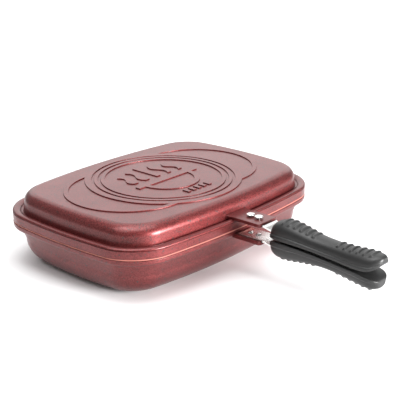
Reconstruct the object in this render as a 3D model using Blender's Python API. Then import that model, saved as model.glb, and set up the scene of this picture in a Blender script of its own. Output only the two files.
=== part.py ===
"""Double sided flip pan: two cast pan halves that close on each other and open on a rear hinge.

Metres, +Z up.  The origin is the centre of the lower half's flat base.  The long side of the
pan runs along X, the handles point to -Y and the hinge is at the back, on the +Y side.
"""
import math

import bmesh
import bpy
from mathutils import Matrix, Vector

# Rim outline, the same for both halves
PAN_LENGTH = 0.340
PAN_WIDTH = 0.250
RIM_CORNER = 0.0425
SHORT_SIDE_BOW = 0.0084
LONG_SIDE_BOW = 0.0126
CORNER_STEPS = 6
LONG_SIDE_STEPS = 7
SHORT_SIDE_STEPS = 5
CORNER_SHRINK_SHARE = 0.7

# Heights of the two halves
LOWER_DEPTH = 0.0521
UPPER_DEPTH = 0.0312
FACE_GAP = 0.0003

# Silicone gasket between the two rims
GASKET_LIP = 0.0014
GASKET_BEAD_HEIGHT = 0.0035
GASKET_BEAD_WIDTH = 0.0044
GASKET_BEAD_INSET = 0.0048
GASKET_LIP_SETBACK = 0.0002

# Lower half: rim band, rounded underside of the rim, wall and deep bottom rounding
LOWER_BAND = 0.0035
RIM_EDGE_ROUND = 0.0006
LOWER_WALL_INSET = 0.0075
LOWER_RIM_UNDERCUT = 0.0045
LOWER_WALL_DRAFT = 0.0045
LOWER_ROUND_HEIGHT = 0.0300
BASE_INSET_X = 0.0380
BASE_INSET_Y = 0.0450
BASE_THICKNESS = 0.0050
ROUND_STEPS = 5

# Upper half: rim band, fine groove, bead on the rim, wall and top rounding
UPPER_BAND = 0.0088
GROOVE_DEPTH = 0.0008
GROOVE_HEIGHT = 0.0010
BEAD_RISE = 0.0024
BEAD_WIDTH = 0.0085
WALL_FOOT_INSET = 0.0105
WALL_FOOT_DROP = 0.0014
TOP_WALL_INSET_X = 0.0125
TOP_WALL_INSET_Y = 0.0115
TOP_ROUND_WIDTH = 0.0130
TOP_ROUND_HEIGHT = 0.0120
TOP_THICKNESS = 0.0040

# Cavities
CAVITY_MOUTH_INSET = 0.0150
WALL_THICKNESS = 0.0040
CAVITY_FLOOR_EXTRA = 0.0020

# Raised ornament on the top face
RIB_HEIGHT = 0.0012
RIB_SINK = 0.0005
RING_A_OUTER = 0.0955
RING_A_INNER = 0.0870
RING_B_OUTER = 0.0842
RING_B_INNER = 0.0793
RING_C_OUTER = 0.0762
RING_C_INNER = 0.0709
RING_STEPS = 48
CRESCENT_OFFSET = 0.0585
CRESCENT_OUTER = 0.0765
CRESCENT_INNER = 0.0708
CRESCENT_STEPS = 20
BOWL_RADIUS = 0.0400
BOWL_LINE = 0.0070
BOWL_TOP = -0.0060
BOWL_STEPS = 16
BOWL_LIP_LENGTH = 0.1000
BOWL_LIP_WIDTH = 0.0070
STEAM_COUNT = 5
STEAM_PITCH = 0.0190
STEAM_LINE = 0.0066
STEAM_START = 0.0080
STEAM_LENGTH = 0.0420
STEAM_SHORTER = 0.0060
STEAM_WAVE = 0.0036
STEAM_STEPS = 14
BAR_COUNT = 5
BAR_PITCH = 0.0090
BAR_WIDTH = 0.0046
BAR_LENGTH = 0.0100
BAR_ROW = -0.0550

# Handle brackets, one cast with each half
BRACKET_HALF_WIDTH = 0.0160
BRACKET_ROOT_HALF_WIDTH = 0.0215
BRACKET_ROOT_DEPTH = 0.0130
BRACKET_FLARE_REACH = 0.0020
BRACKET_REACH = 0.0370
BRACKET_FLARE_STEPS = 5
BRACKET_WALL = 0.0030
BRACKET_CORNER = 0.0030
BRACKET_CORNER_STEPS = 3
UPPER_BRACKET_RISE = 0.0169
UPPER_BRACKET_HEIGHT = 0.0058
LOWER_BRACKET_DROP = 0.0078
LOWER_BRACKET_HEIGHT = 0.0062
BRACKET_PLATE = 0.0030
CHANNEL_BACK_REACH = 0.0015

# Steel tangs from the brackets into the grips
TANG_THICKNESS = 0.0022
TANG_HALF_WIDTH = 0.0124
TANG_TAIL_HALF_WIDTH = 0.0085
TANG_BACK_GAP = 0.0015
TANG_BEND_GAP = 0.0005
TANG_STEP_DEPTH = 0.0025
TANG_TAIL_SHARE = 0.55
UPPER_TANG_TAIL_RISE = 0.0089
LOWER_TANG_TAIL_DROP = 0.0091

# Rivets through bracket and tang
RIVET_SETBACK = 0.0144
RIVET_PITCH = 0.0117
RIVET_RADIUS = 0.0022
RIVET_HEAD_RADIUS = 0.0052
RIVET_HEAD_HEIGHT = 0.0015
RIVET_TAIL_RADIUS = 0.0036
RIVET_TAIL_HEIGHT = 0.0013
RIVET_STEPS = 20
RIVET_DOME_STEPS = 4
RIVET_DOME_POWER = 0.5
ROUNDED_END_SHARE = 0.7
FIT_CLEARANCE = 0.0003

# Moulded grips
GRIP_GAP = 0.0110
GRIP_LENGTH = 0.1400
GRIP_HALF_WIDTH = 0.0175
GRIP_REACH = 0.0240
LIP_SHARE = 0.30
GRIP_SECTION_SHARES = (
    (0.88, 0.00), (0.98, 0.04), (1.00, 0.10), (1.00, LIP_SHARE), (0.93, 0.37), (0.86, 0.46),
    (0.81, 0.60), (0.73, 0.76), (0.56, 0.90), (0.30, 0.98), (0.00, 1.00),
)
# Each station: place along the grip, half width, inner face and outer face from the seam
UPPER_GRIP_SHARES = (
    (0.000, 0.60, 0.279, 0.558), (0.006, 0.75, 0.213, 0.704), (0.021, 0.87, 0.179, 0.829),
    (0.057, 0.96, 0.162, 0.937), (0.121, 0.99, 0.158, 0.996), (0.200, 0.98, 0.154, 0.963),
    (0.293, 0.93, 0.129, 0.854), (0.393, 0.86, 0.088, 0.737), (0.507, 0.81, 0.021, 0.671),
    (0.621, 0.82, -0.029, 0.638), (0.721, 0.89, -0.062, 0.629), (0.800, 0.96, -0.067, 0.646),
    (0.871, 0.99, -0.050, 0.671), (0.929, 0.93, 0.012, 0.671), (0.964, 0.75, 0.121, 0.654),
    (0.989, 0.51, 0.246, 0.612), (1.000, 0.29, 0.350, 0.558),
)
LOWER_GRIP_SHARES = (
    (0.000, 0.60, -0.160, -0.463), (0.006, 0.75, -0.050, -0.608), (0.021, 0.87, 0.020, -0.729),
    (0.057, 0.96, 0.060, -0.838), (0.121, 0.99, 0.070, -0.854), (0.200, 0.98, 0.056, -0.812),
    (0.293, 0.93, 0.020, -0.738), (0.393, 0.86, -0.040, -0.700), (0.507, 0.81, -0.104, -0.696),
    (0.621, 0.82, -0.150, -0.746), (0.721, 0.89, -0.171, -0.821), (0.800, 0.96, -0.196, -0.888),
    (0.871, 0.99, -0.254, -0.938), (0.921, 0.94, -0.312, -0.946), (0.957, 0.78, -0.379, -0.904),
    (0.979, 0.54, -0.454, -0.838), (0.986, 0.31, -0.525, -0.754),
)
RIB_COUNT = 6
FRONT_RIBS_SHARE = 0.1086
FRONT_RIB_PITCH_SHARE = 0.0571
REAR_RIBS_SHARE = 0.6164
REAR_RIB_PITCH_SHARE = 0.0593
GRIP_RIB_RADIUS = 0.0023
GRIP_RIB_PROUD = 0.0013
GRIP_RIB_SIDES = 8
GRIP_RIB_SPREAD_SHARES = (-0.54, -0.50, -0.28, 0.00, 0.28, 0.50, 0.54)
GRIP_RIB_END_SHARE = 0.45

# Grip screws, driven from the faces that meet
SCREW_PLACE_SHARE = 0.25
SCREW_RADIUS = 0.0018
SCREW_HEAD_RADIUS = 0.0034
SCREW_HEAD_HEIGHT = 0.0022
SCREW_HEAD_SINK = 0.0010
SCREW_REACH = 0.0060
SCREW_SLOT_WIDTH = 0.0009
SCREW_SLOT_DEPTH = 0.0009
SCREW_STEPS = 20
SCREW_SLOT_SHARE = 0.72

# Magnets that keep the two grips together
MAGNET_PLACE_SHARE = 0.70
MAGNET_RADIUS = 0.0050
MAGNET_THICKNESS = 0.0030
MAGNET_SINK = 0.0006
MAGNET_STEPS = 24

# Rear hinges
HINGE_X = 0.0800
HINGE_REACH = 0.0090
EAR_RADIUS = 0.0065
EAR_WIDTH = 0.0050
KNUCKLE_WIDTH = 0.0080
EAR_GAP = 0.0004
EAR_ROOT_HEIGHT = 0.0062
LOWER_EAR_ROOT_DEPTH = 0.0080
UPPER_EAR_ROOT_DEPTH = 0.0030
EAR_STEPS = 18
EAR_NECK_ANGLE = math.radians(195.0)
PIN_RADIUS = 0.0025
PIN_HEAD_RADIUS = 0.0040
PIN_HEAD_LENGTH = 0.0014
PIN_STEPS = 20
WASHER_RADIUS = 0.0044
WASHER_THICKNESS = 0.0010

# Cutting overrun, weld distance and the angles over which faces meet in a crease
OVERRUN = 0.0010
WELD_DISTANCE = 0.00001
CREASE_ANGLE = math.radians(35.0)
TANG_CREASE_ANGLE = math.radians(25.0)
GRIP_CREASE_ANGLE = math.radians(40.0)

# Places worked out from the sizes above
UPPER_RIM_Z = LOWER_DEPTH + FACE_GAP + GASKET_LIP + FACE_GAP
SEAM_Z = (LOWER_DEPTH + UPPER_RIM_Z) / 2
TOP_Z = UPPER_RIM_Z + UPPER_DEPTH
HALF_LENGTH = PAN_LENGTH / 2
HALF_WIDTH = PAN_WIDTH / 2
HINGE_Y = HALF_WIDTH + HINGE_REACH
BRACKET_ROOT_Y = BRACKET_ROOT_DEPTH - HALF_WIDTH
BRACKET_FLARE_Y = -(HALF_WIDTH + BRACKET_FLARE_REACH)
BRACKET_FRONT_Y = -(HALF_WIDTH + BRACKET_REACH)
CHANNEL_BACK_Y = -(HALF_WIDTH + CHANNEL_BACK_REACH)
UPPER_BRACKET_TOP = UPPER_RIM_Z + UPPER_BRACKET_RISE
LOWER_BRACKET_BOTTOM = LOWER_DEPTH - LOWER_BRACKET_DROP
GRIP_FRONT_Y = BRACKET_FRONT_Y - GRIP_GAP
TANG_BACK_Y = CHANNEL_BACK_Y - TANG_BACK_GAP
TANG_BEND_Y = BRACKET_FRONT_Y - TANG_BEND_GAP
TANG_STEP_Y = GRIP_FRONT_Y - TANG_STEP_DEPTH
TANG_TAIL_Y = GRIP_FRONT_Y - GRIP_LENGTH * TANG_TAIL_SHARE
UPPER_TANG_TAIL_Z = SEAM_Z + UPPER_TANG_TAIL_RISE
LOWER_TANG_TAIL_Z = SEAM_Z - LOWER_TANG_TAIL_DROP
SCREW_Y = GRIP_FRONT_Y - GRIP_LENGTH * SCREW_PLACE_SHARE
MAGNET_Y = GRIP_FRONT_Y - GRIP_LENGTH * MAGNET_PLACE_SHARE

# Finishes seen on the object: colour, metallic, roughness
FINISHES = {
    "granite_coat": ((0.30, 0.075, 0.070), 0.55, 0.36),
    "silicone": ((0.78, 0.25, 0.12), 0.0, 0.55),
    "black_plastic": ((0.022, 0.022, 0.022), 0.0, 0.42),
    "polished_steel": ((0.78, 0.76, 0.74), 1.0, 0.22),
    "plated_magnet": ((0.55, 0.55, 0.56), 1.0, 0.32),
}


def clear_scene():
    for item in list(bpy.data.objects):
        bpy.data.objects.remove(item)


def finish(name):
    if name in bpy.data.materials:
        return bpy.data.materials[name]
    colour, metallic, roughness = FINISHES[name]
    material = bpy.data.materials.new(name)
    material.use_nodes = True
    shader = material.node_tree.nodes["Principled BSDF"]
    shader.inputs["Base Color"].default_value = (*colour, 1.0)
    shader.inputs["Metallic"].default_value = metallic
    shader.inputs["Roughness"].default_value = roughness
    return material


def solid(name, bm):
    """Turn a bmesh into an object of that name, with its faces pointing out."""
    bmesh.ops.recalc_face_normals(bm, faces=bm.faces)
    mesh = bpy.data.meshes.new(name)
    bm.to_mesh(mesh)
    bm.free()
    item = bpy.data.objects.new(name, mesh)
    bpy.context.collection.objects.link(item)
    return item


def loft(name, rings):
    """Closed body through rings of equal length, with a flat cap on the first and the last."""
    bm = bmesh.new()
    rows = [[bm.verts.new(point) for point in ring] for ring in rings]
    count = len(rows[0])
    for lower, upper in zip(rows, rows[1:]):
        for i in range(count):
            j = (i + 1) % count
            bm.faces.new((lower[i], lower[j], upper[j], upper[i]))
    bm.faces.new(rows[0])
    bm.faces.new(rows[-1])
    return solid(name, bm)


def closed_loft(name, rings):
    """Body whose last ring joins its first, such as a frame of constant section."""
    bm = bmesh.new()
    rows = [[bm.verts.new(point) for point in ring] for ring in rings]
    count = len(rows[0])
    for lower, upper in zip(rows, rows[1:] + rows[:1]):
        for i in range(count):
            j = (i + 1) % count
            bm.faces.new((lower[i], lower[j], upper[j], upper[i]))
    return solid(name, bm)


def prism(name, outline, low, high, axis="Z"):
    """Extrude a flat outline from low to high along an axis."""
    if axis == "Z":
        rings = [[Vector((u, v, height)) for u, v in outline] for height in (low, high)]
    else:
        rings = [[Vector((height, u, v)) for u, v in outline] for height in (low, high)]
    return loft(name, rings)


def turned(name, profile, centre, axis, steps):
    """Turn (radius, distance) points about an axis through centre; ends lie on the axis."""
    bm = bmesh.new()
    rows = []
    for radius, distance in profile:
        ring = []
        for i in range(steps):
            angle = 2 * math.pi * i / steps
            ring.append(bm.verts.new((radius * math.cos(angle), radius * math.sin(angle), distance)))
        rows.append(ring)
    for lower, upper in zip(rows, rows[1:]):
        for i in range(steps):
            j = (i + 1) % steps
            bm.faces.new((lower[i], lower[j], upper[j], upper[i]))
    bm.faces.new(rows[0])
    bm.faces.new(rows[-1])
    turn = Vector((0, 0, 1)).rotation_difference(Vector(axis)).to_matrix().to_4x4()
    bmesh.ops.transform(bm, matrix=Matrix.Translation(centre) @ turn, verts=bm.verts)
    return solid(name, bm)


def combine(target, tools, operation):
    """Join the tools to the target or cut them out of it, and keep the result as its mesh."""
    for tool in tools:
        modifier = target.modifiers.new(operation.title(), "BOOLEAN")
        modifier.operation = operation
        modifier.solver = "EXACT"
        modifier.object = tool
    depsgraph = bpy.context.evaluated_depsgraph_get()
    mesh = bpy.data.meshes.new_from_object(target.evaluated_get(depsgraph))
    target.modifiers.clear()
    target.data = mesh
    for tool in tools:
        bpy.data.objects.remove(tool)
    return target


def shade(item, finish_name, crease_angle=CREASE_ANGLE):
    """Weld the mesh, mark its creases and give it its finish."""
    bm = bmesh.new()
    bm.from_mesh(item.data)
    bmesh.ops.remove_doubles(bm, verts=bm.verts, dist=WELD_DISTANCE)
    bm.to_mesh(item.data)
    bm.free()
    item.data.shade_smooth()
    item.data.set_sharp_from_angle(angle=crease_angle)
    item.data.materials.clear()
    item.data.materials.append(finish(finish_name))


def side_points(start, end, steps):
    """Points from start towards end, without the end."""
    return [start.lerp(end, i / steps) for i in range(1, steps)]


def rim_outline(inset_x, inset_y):
    """Rounded rectangle with gently bowed sides, inset from the rim, counter-clockwise."""
    half_x = HALF_LENGTH - inset_x
    half_y = HALF_WIDTH - inset_y
    corner = RIM_CORNER - CORNER_SHRINK_SHARE * (inset_x + inset_y) / 2
    flat_x = half_x - SHORT_SIDE_BOW
    flat_y = half_y - LONG_SIDE_BOW
    points = []
    corners = ((1, 1), (-1, 1), (-1, -1), (1, -1))
    arcs = []
    for turn, (sign_x, sign_y) in enumerate(corners):
        centre = Vector((sign_x * (flat_x - corner), sign_y * (flat_y - corner)))
        arc = []
        for i in range(CORNER_STEPS + 1):
            angle = math.pi / 2 * (turn + i / CORNER_STEPS)
            arc.append(centre + corner * Vector((math.cos(angle), math.sin(angle))))
        arcs.append(arc)
    for turn, arc in enumerate(arcs):
        points.extend(arc)
        following = arcs[(turn + 1) % len(arcs)]
        steps = LONG_SIDE_STEPS if turn % 2 == 0 else SHORT_SIDE_STEPS
        points.extend(side_points(arc[-1], following[0], steps))
    bowed = []
    for x, y in points:
        share_x = x / flat_x
        share_y = y / flat_y
        bow_x = SHORT_SIDE_BOW * (1 - share_y * share_y) * share_x
        bow_y = LONG_SIDE_BOW * (1 - share_x * share_x) * share_y
        bowed.append((x + bow_x, y + bow_y))
    return bowed


def rim_ring(inset_x, inset_y, z):
    return [Vector((x, y, z)) for x, y in rim_outline(inset_x, inset_y)]


def rounding(inset_x, inset_y, z, width_x, width_y, height):
    """Rings of a quarter ellipse that turns a wall at the given inset into a flat face."""
    rings = []
    for i in range(ROUND_STEPS + 1):
        angle = math.pi / 2 * i / ROUND_STEPS
        across = 1 - math.cos(angle)
        ring_z = z + height * math.sin(angle)
        rings.append(rim_ring(inset_x + width_x * across, inset_y + width_y * across, ring_z))
    return rings


def rim_y_at(x):
    """Distance of the rim's long side from the middle, at a place along it."""
    share = x / (HALF_LENGTH - SHORT_SIDE_BOW)
    return HALF_WIDTH - LONG_SIDE_BOW * share * share


def lower_shell():
    """Outer skin from the rim down to the base, then the cavity cut from above."""
    wall_z = LOWER_DEPTH - LOWER_BAND - LOWER_RIM_UNDERCUT
    round_x = BASE_INSET_X - LOWER_WALL_INSET - LOWER_WALL_DRAFT
    round_y = BASE_INSET_Y - LOWER_WALL_INSET - LOWER_WALL_DRAFT
    wall_inset = LOWER_WALL_INSET + LOWER_WALL_DRAFT
    rings = [
        rim_ring(RIM_EDGE_ROUND, RIM_EDGE_ROUND, LOWER_DEPTH),
        rim_ring(0, 0, LOWER_DEPTH - RIM_EDGE_ROUND),
        rim_ring(0, 0, LOWER_DEPTH - LOWER_BAND),
    ]
    for i in range(1, ROUND_STEPS):
        angle = math.pi / 2 * i / ROUND_STEPS
        inset = LOWER_WALL_INSET * (1 - math.cos(angle))
        ring_z = LOWER_DEPTH - LOWER_BAND - LOWER_RIM_UNDERCUT * math.sin(angle)
        rings.append(rim_ring(inset, inset, ring_z))
    rings.append(rim_ring(LOWER_WALL_INSET, LOWER_WALL_INSET, wall_z))
    rings.extend(rounding(wall_inset, wall_inset, LOWER_ROUND_HEIGHT, round_x, round_y, -LOWER_ROUND_HEIGHT))
    body = loft("lower_pan", rings)
    inner_wall = wall_inset + WALL_THICKNESS
    inner_round = LOWER_ROUND_HEIGHT - BASE_THICKNESS
    floor_x = BASE_INSET_X + CAVITY_FLOOR_EXTRA - inner_wall
    floor_y = BASE_INSET_Y + CAVITY_FLOOR_EXTRA - inner_wall
    cavity = [
        rim_ring(CAVITY_MOUTH_INSET, CAVITY_MOUTH_INSET, LOWER_DEPTH + OVERRUN),
        rim_ring(CAVITY_MOUTH_INSET, CAVITY_MOUTH_INSET, LOWER_DEPTH - LOWER_BAND),
    ]
    cavity.extend(rounding(inner_wall, inner_wall, LOWER_ROUND_HEIGHT, floor_x, floor_y, -inner_round))
    return combine(body, [loft("lower_cavity", cavity)], "DIFFERENCE")


def upper_shell():
    """Rim band with a fine groove and a bead, the wall, the rounded top edge and the cavity."""
    band_z = UPPER_RIM_Z + UPPER_BAND
    bead_z = band_z + GROOVE_HEIGHT
    foot_z = bead_z - WALL_FOOT_DROP
    half_groove = GROOVE_HEIGHT / 2
    rings = [
        rim_ring(RIM_EDGE_ROUND, RIM_EDGE_ROUND, UPPER_RIM_Z),
        rim_ring(0, 0, UPPER_RIM_Z + RIM_EDGE_ROUND),
        rim_ring(0, 0, band_z),
        rim_ring(GROOVE_DEPTH, GROOVE_DEPTH, band_z + half_groove),
        rim_ring(0, 0, bead_z),
    ]
    for i in range(1, ROUND_STEPS + 1):
        angle = math.pi * i / (ROUND_STEPS + 1)
        inset = BEAD_WIDTH / 2 * (1 - math.cos(angle))
        rings.append(rim_ring(inset, inset, bead_z + BEAD_RISE * math.sin(angle)))
    rings.append(rim_ring(BEAD_WIDTH, BEAD_WIDTH, bead_z - WALL_FOOT_DROP / 2))
    rings.append(rim_ring(WALL_FOOT_INSET, WALL_FOOT_INSET, foot_z))
    rings.extend(rounding(TOP_WALL_INSET_X, TOP_WALL_INSET_Y, TOP_Z - TOP_ROUND_HEIGHT,
                          TOP_ROUND_WIDTH, TOP_ROUND_WIDTH, TOP_ROUND_HEIGHT))
    body = loft("upper_pan", rings)
    ceiling_z = TOP_Z - TOP_THICKNESS
    inner_height = TOP_ROUND_HEIGHT - WALL_THICKNESS / 2
    inner_x = TOP_WALL_INSET_X + WALL_THICKNESS
    inner_y = TOP_WALL_INSET_Y + WALL_THICKNESS
    inner_round = TOP_ROUND_WIDTH - WALL_THICKNESS / 2
    cavity = [
        rim_ring(CAVITY_MOUTH_INSET, CAVITY_MOUTH_INSET, UPPER_RIM_Z - OVERRUN),
        rim_ring(CAVITY_MOUTH_INSET, CAVITY_MOUTH_INSET, UPPER_RIM_Z + RIM_EDGE_ROUND),
    ]
    cavity.extend(rounding(inner_x, inner_y, ceiling_z - inner_height,
                           inner_round, inner_round, inner_height))
    groove_inner = GASKET_BEAD_INSET + GASKET_BEAD_WIDTH + FIT_CLEARANCE
    groove_outer = GASKET_BEAD_INSET - FIT_CLEARANCE
    groove = gasket_frame("gasket_groove", groove_outer, groove_inner, UPPER_RIM_Z - OVERRUN,
                          UPPER_RIM_Z + GASKET_BEAD_HEIGHT + FACE_GAP)
    return combine(body, [loft("upper_cavity", cavity), groove], "DIFFERENCE")


def gasket_frame(name, outer_inset, inner_inset, low, high):
    """Frame of rectangular section that follows the rim."""
    rings = [
        rim_ring(outer_inset, outer_inset, low),
        rim_ring(inner_inset, inner_inset, low),
        rim_ring(inner_inset, inner_inset, high),
        rim_ring(outer_inset, outer_inset, high),
    ]
    return closed_loft(name, rings)


def arc_points(centre, radius, start, end, steps):
    points = []
    for i in range(steps + 1):
        angle = start + (end - start) * i / steps
        points.append((centre[0] + radius * math.cos(angle), centre[1] + radius * math.sin(angle)))
    return points


def ribbon(left, right):
    """Flat outline of a band between two lines that run the same way."""
    return list(right) + list(reversed(left))


def raised(name, outline):
    """Rib that stands on the top face and is sunk a little into it."""
    return prism(name, outline, TOP_Z - RIB_SINK, TOP_Z + RIB_HEIGHT)


def raised_ring(name, inner, outer):
    rings = []
    for radius, z in ((inner, TOP_Z - RIB_SINK), (outer, TOP_Z - RIB_SINK),
                      (outer, TOP_Z + RIB_HEIGHT), (inner, TOP_Z + RIB_HEIGHT)):
        turn = 2 * math.pi / RING_STEPS
        rings.append([Vector((radius * math.cos(turn * i), radius * math.sin(turn * i), z))
                      for i in range(RING_STEPS)])
    return closed_loft(name, rings)


def crescents():
    """Two open arcs beside the outer ring, which end in the middle of that ring."""
    middle = (CRESCENT_INNER + CRESCENT_OUTER) / 2
    ring_middle = (RING_A_INNER + RING_A_OUTER) / 2
    spread = (ring_middle ** 2 - middle ** 2 - CRESCENT_OFFSET ** 2) / (2 * middle * CRESCENT_OFFSET)
    half_angle = math.acos(spread)
    items = []
    for sign, facing in ((1, 0.0), (-1, math.pi)):
        centre = (sign * CRESCENT_OFFSET, 0)
        start = facing - half_angle
        end = facing + half_angle
        outer = arc_points(centre, CRESCENT_OUTER, start, end, CRESCENT_STEPS)
        inner = arc_points(centre, CRESCENT_INNER, start, end, CRESCENT_STEPS)
        items.append(raised("crescent", ribbon(inner, outer)))
    return items


def raised_bar(x, y, length_x, length_y):
    half_x = length_x / 2
    half_y = length_y / 2
    outline = [(x - half_x, y - half_y), (x + half_x, y - half_y),
               (x + half_x, y + half_y), (x - half_x, y + half_y)]
    return raised("bar", outline)


def bowl_motif():
    """Generic cooking sign: an open bowl with lines of steam over it and a row of bars below."""
    inner_radius = BOWL_RADIUS - BOWL_LINE
    outer = arc_points((0, BOWL_TOP), BOWL_RADIUS, math.pi, 2 * math.pi, BOWL_STEPS)
    inner = arc_points((0, BOWL_TOP), inner_radius, math.pi, 2 * math.pi, BOWL_STEPS)
    items = [raised("bowl", ribbon(inner, outer))]
    items.append(raised_bar(0, BOWL_TOP, BOWL_LIP_LENGTH, BOWL_LIP_WIDTH))
    for i in range(STEAM_COUNT):
        column = i - (STEAM_COUNT - 1) / 2
        left = []
        right = []
        lean = (column > 0) - (column < 0)
        length = STEAM_LENGTH - STEAM_SHORTER * abs(column)
        for step in range(STEAM_STEPS + 1):
            share = step / STEAM_STEPS
            x = column * STEAM_PITCH + lean * STEAM_WAVE * math.sin(2 * math.pi * share)
            y = STEAM_START + length * share
            left.append((x - STEAM_LINE / 2, y))
            right.append((x + STEAM_LINE / 2, y))
        items.append(raised("steam", ribbon(left, right)))
    for i in range(BAR_COUNT):
        x = (i - (BAR_COUNT - 1) / 2) * BAR_PITCH
        items.append(raised_bar(x, BAR_ROW, BAR_WIDTH, BAR_LENGTH))
    return items


def ornament():
    items = [
        raised_ring("ring_a", RING_A_INNER, RING_A_OUTER),
        raised_ring("ring_b", RING_B_INNER, RING_B_OUTER),
        raised_ring("ring_c", RING_C_INNER, RING_C_OUTER),
    ]
    items.extend(crescents())
    items.extend(bowl_motif())
    return items


def bracket_outline():
    """Plan of a bracket: parallel sides that flare into the wall of the pan."""
    right = []
    for i in range(BRACKET_FLARE_STEPS + 1):
        angle = math.pi / 2 * i / BRACKET_FLARE_STEPS
        x = BRACKET_ROOT_HALF_WIDTH - (BRACKET_ROOT_HALF_WIDTH - BRACKET_HALF_WIDTH) * math.sin(angle)
        y = BRACKET_FLARE_Y + (BRACKET_ROOT_Y - BRACKET_FLARE_Y) * (1 - math.sin(angle)) * math.cos(angle)
        right.append((x, y))
    right[0] = (BRACKET_ROOT_HALF_WIDTH, BRACKET_ROOT_Y)
    corner_x = BRACKET_HALF_WIDTH - BRACKET_CORNER
    corner_y = BRACKET_FRONT_Y + BRACKET_CORNER
    right.extend(arc_points((corner_x, corner_y), BRACKET_CORNER, 0, -math.pi / 2, BRACKET_CORNER_STEPS))
    left = [(-x, y) for x, y in reversed(right)]
    return right + left


def channel(low, high):
    """Straight space between a bracket's side walls, open at the front."""
    half = BRACKET_HALF_WIDTH - BRACKET_WALL
    front = BRACKET_FRONT_Y - OVERRUN
    outline = [(-half, front), (half, front), (half, CHANNEL_BACK_Y), (-half, CHANNEL_BACK_Y)]
    return prism("channel", outline, low, high)


def drill(y, low, high):
    profile = [(RIVET_RADIUS + FIT_CLEARANCE, low), (RIVET_RADIUS + FIT_CLEARANCE, high)]
    return turned("drill", profile, Vector((0, y, 0)), (0, 0, 1), RIVET_STEPS)


def rivet_places():
    front = BRACKET_FRONT_Y + RIVET_SETBACK
    return (front + RIVET_PITCH, front)


def ear_outline(root_y, side):
    """Side view of a hinge ear: a round eye on the hinge axis with a web back to the rim."""
    points = []
    for i in range(EAR_STEPS + 1):
        angle = -math.pi / 2 + (math.pi / 2 + EAR_NECK_ANGLE) * i / EAR_STEPS
        y = HINGE_Y + EAR_RADIUS * math.cos(angle)
        z = SEAM_Z + side * EAR_RADIUS * math.sin(angle)
        points.append((y, z))
    neck_z = points[-1][1]
    points.append((root_y, neck_z))
    points.append((root_y, neck_z - side * EAR_ROOT_HEIGHT))
    return points


def hinge_centres():
    return (-HINGE_X, HINGE_X)


def outward(x):
    """Sign of the direction from the middle of the pan to a place along the hinge."""
    return math.copysign(1, x)


def ear_spans(x):
    """Both lower ears of a hinge, as pairs of places along the axis."""
    near = KNUCKLE_WIDTH / 2 + EAR_GAP
    far = near + EAR_WIDTH
    return ((x - far, x - near), (x + near, x + far))


def hinge_bore(x):
    reach = KNUCKLE_WIDTH / 2 + EAR_GAP + EAR_WIDTH + OVERRUN
    radius = PIN_RADIUS + FIT_CLEARANCE
    profile = [(radius, -reach), (radius, reach)]
    return turned("bore", profile, Vector((x, HINGE_Y, SEAM_Z)), (1, 0, 0), PIN_STEPS)


def make_lower_pan(parent):
    pan = lower_shell()
    root_y = rim_y_at(HINGE_X) - LOWER_EAR_ROOT_DEPTH
    top = LOWER_BRACKET_BOTTOM + LOWER_BRACKET_HEIGHT
    joined = [prism("bracket", bracket_outline(), LOWER_BRACKET_BOTTOM, top)]
    for x in hinge_centres():
        for low, high in ear_spans(x):
            joined.append(prism("ear", ear_outline(root_y, 1), low, high, "X"))
    combine(pan, joined, "UNION")
    floor = LOWER_BRACKET_BOTTOM + BRACKET_PLATE
    cuts = [channel(floor, top + OVERRUN)]
    for y in rivet_places():
        cuts.append(drill(y, LOWER_BRACKET_BOTTOM - OVERRUN, floor + OVERRUN))
    for x in hinge_centres():
        cuts.append(hinge_bore(x))
    combine(pan, cuts, "DIFFERENCE")
    shade(pan, "granite_coat")
    pan.parent = parent


def hang(item, parent):
    """Let an item move with its parent while it stays where it was modelled."""
    item.parent = parent
    item.matrix_parent_inverse = Matrix.Translation(-Vector(parent.location))


def make_upper_pan(parent):
    pan = upper_shell()
    root_y = rim_y_at(HINGE_X) - UPPER_EAR_ROOT_DEPTH
    low_z = UPPER_BRACKET_TOP - UPPER_BRACKET_HEIGHT
    joined = ornament()
    joined.append(prism("bracket", bracket_outline(), low_z, UPPER_BRACKET_TOP))
    half = KNUCKLE_WIDTH / 2
    for x in hinge_centres():
        joined.append(prism("knuckle", ear_outline(root_y, -1), x - half, x + half, "X"))
    combine(pan, joined, "UNION")
    plate = UPPER_BRACKET_TOP - BRACKET_PLATE
    cuts = [channel(low_z - OVERRUN, plate)]
    for y in rivet_places():
        cuts.append(drill(y, plate - OVERRUN, UPPER_BRACKET_TOP + OVERRUN))
    for x in hinge_centres():
        cuts.append(hinge_bore(x))
    combine(pan, cuts, "DIFFERENCE")
    shade(pan, "granite_coat")
    hang(pan, parent)


def make_gasket(parent):
    """Lip that shows between the rims, with a bead held in the groove of the upper half."""
    low = LOWER_DEPTH + FACE_GAP
    lip = low + GASKET_LIP
    high = UPPER_RIM_Z + GASKET_BEAD_HEIGHT
    inner = GASKET_BEAD_INSET + GASKET_BEAD_WIDTH
    section = (
        (GASKET_LIP_SETBACK, low), (inner, low), (inner, high),
        (GASKET_BEAD_INSET, high), (GASKET_BEAD_INSET, lip), (GASKET_LIP_SETBACK, lip),
    )
    gasket = closed_loft("gasket", [rim_ring(inset, inset, z) for inset, z in section])
    shade(gasket, "silicone")
    hang(gasket, parent)


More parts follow.
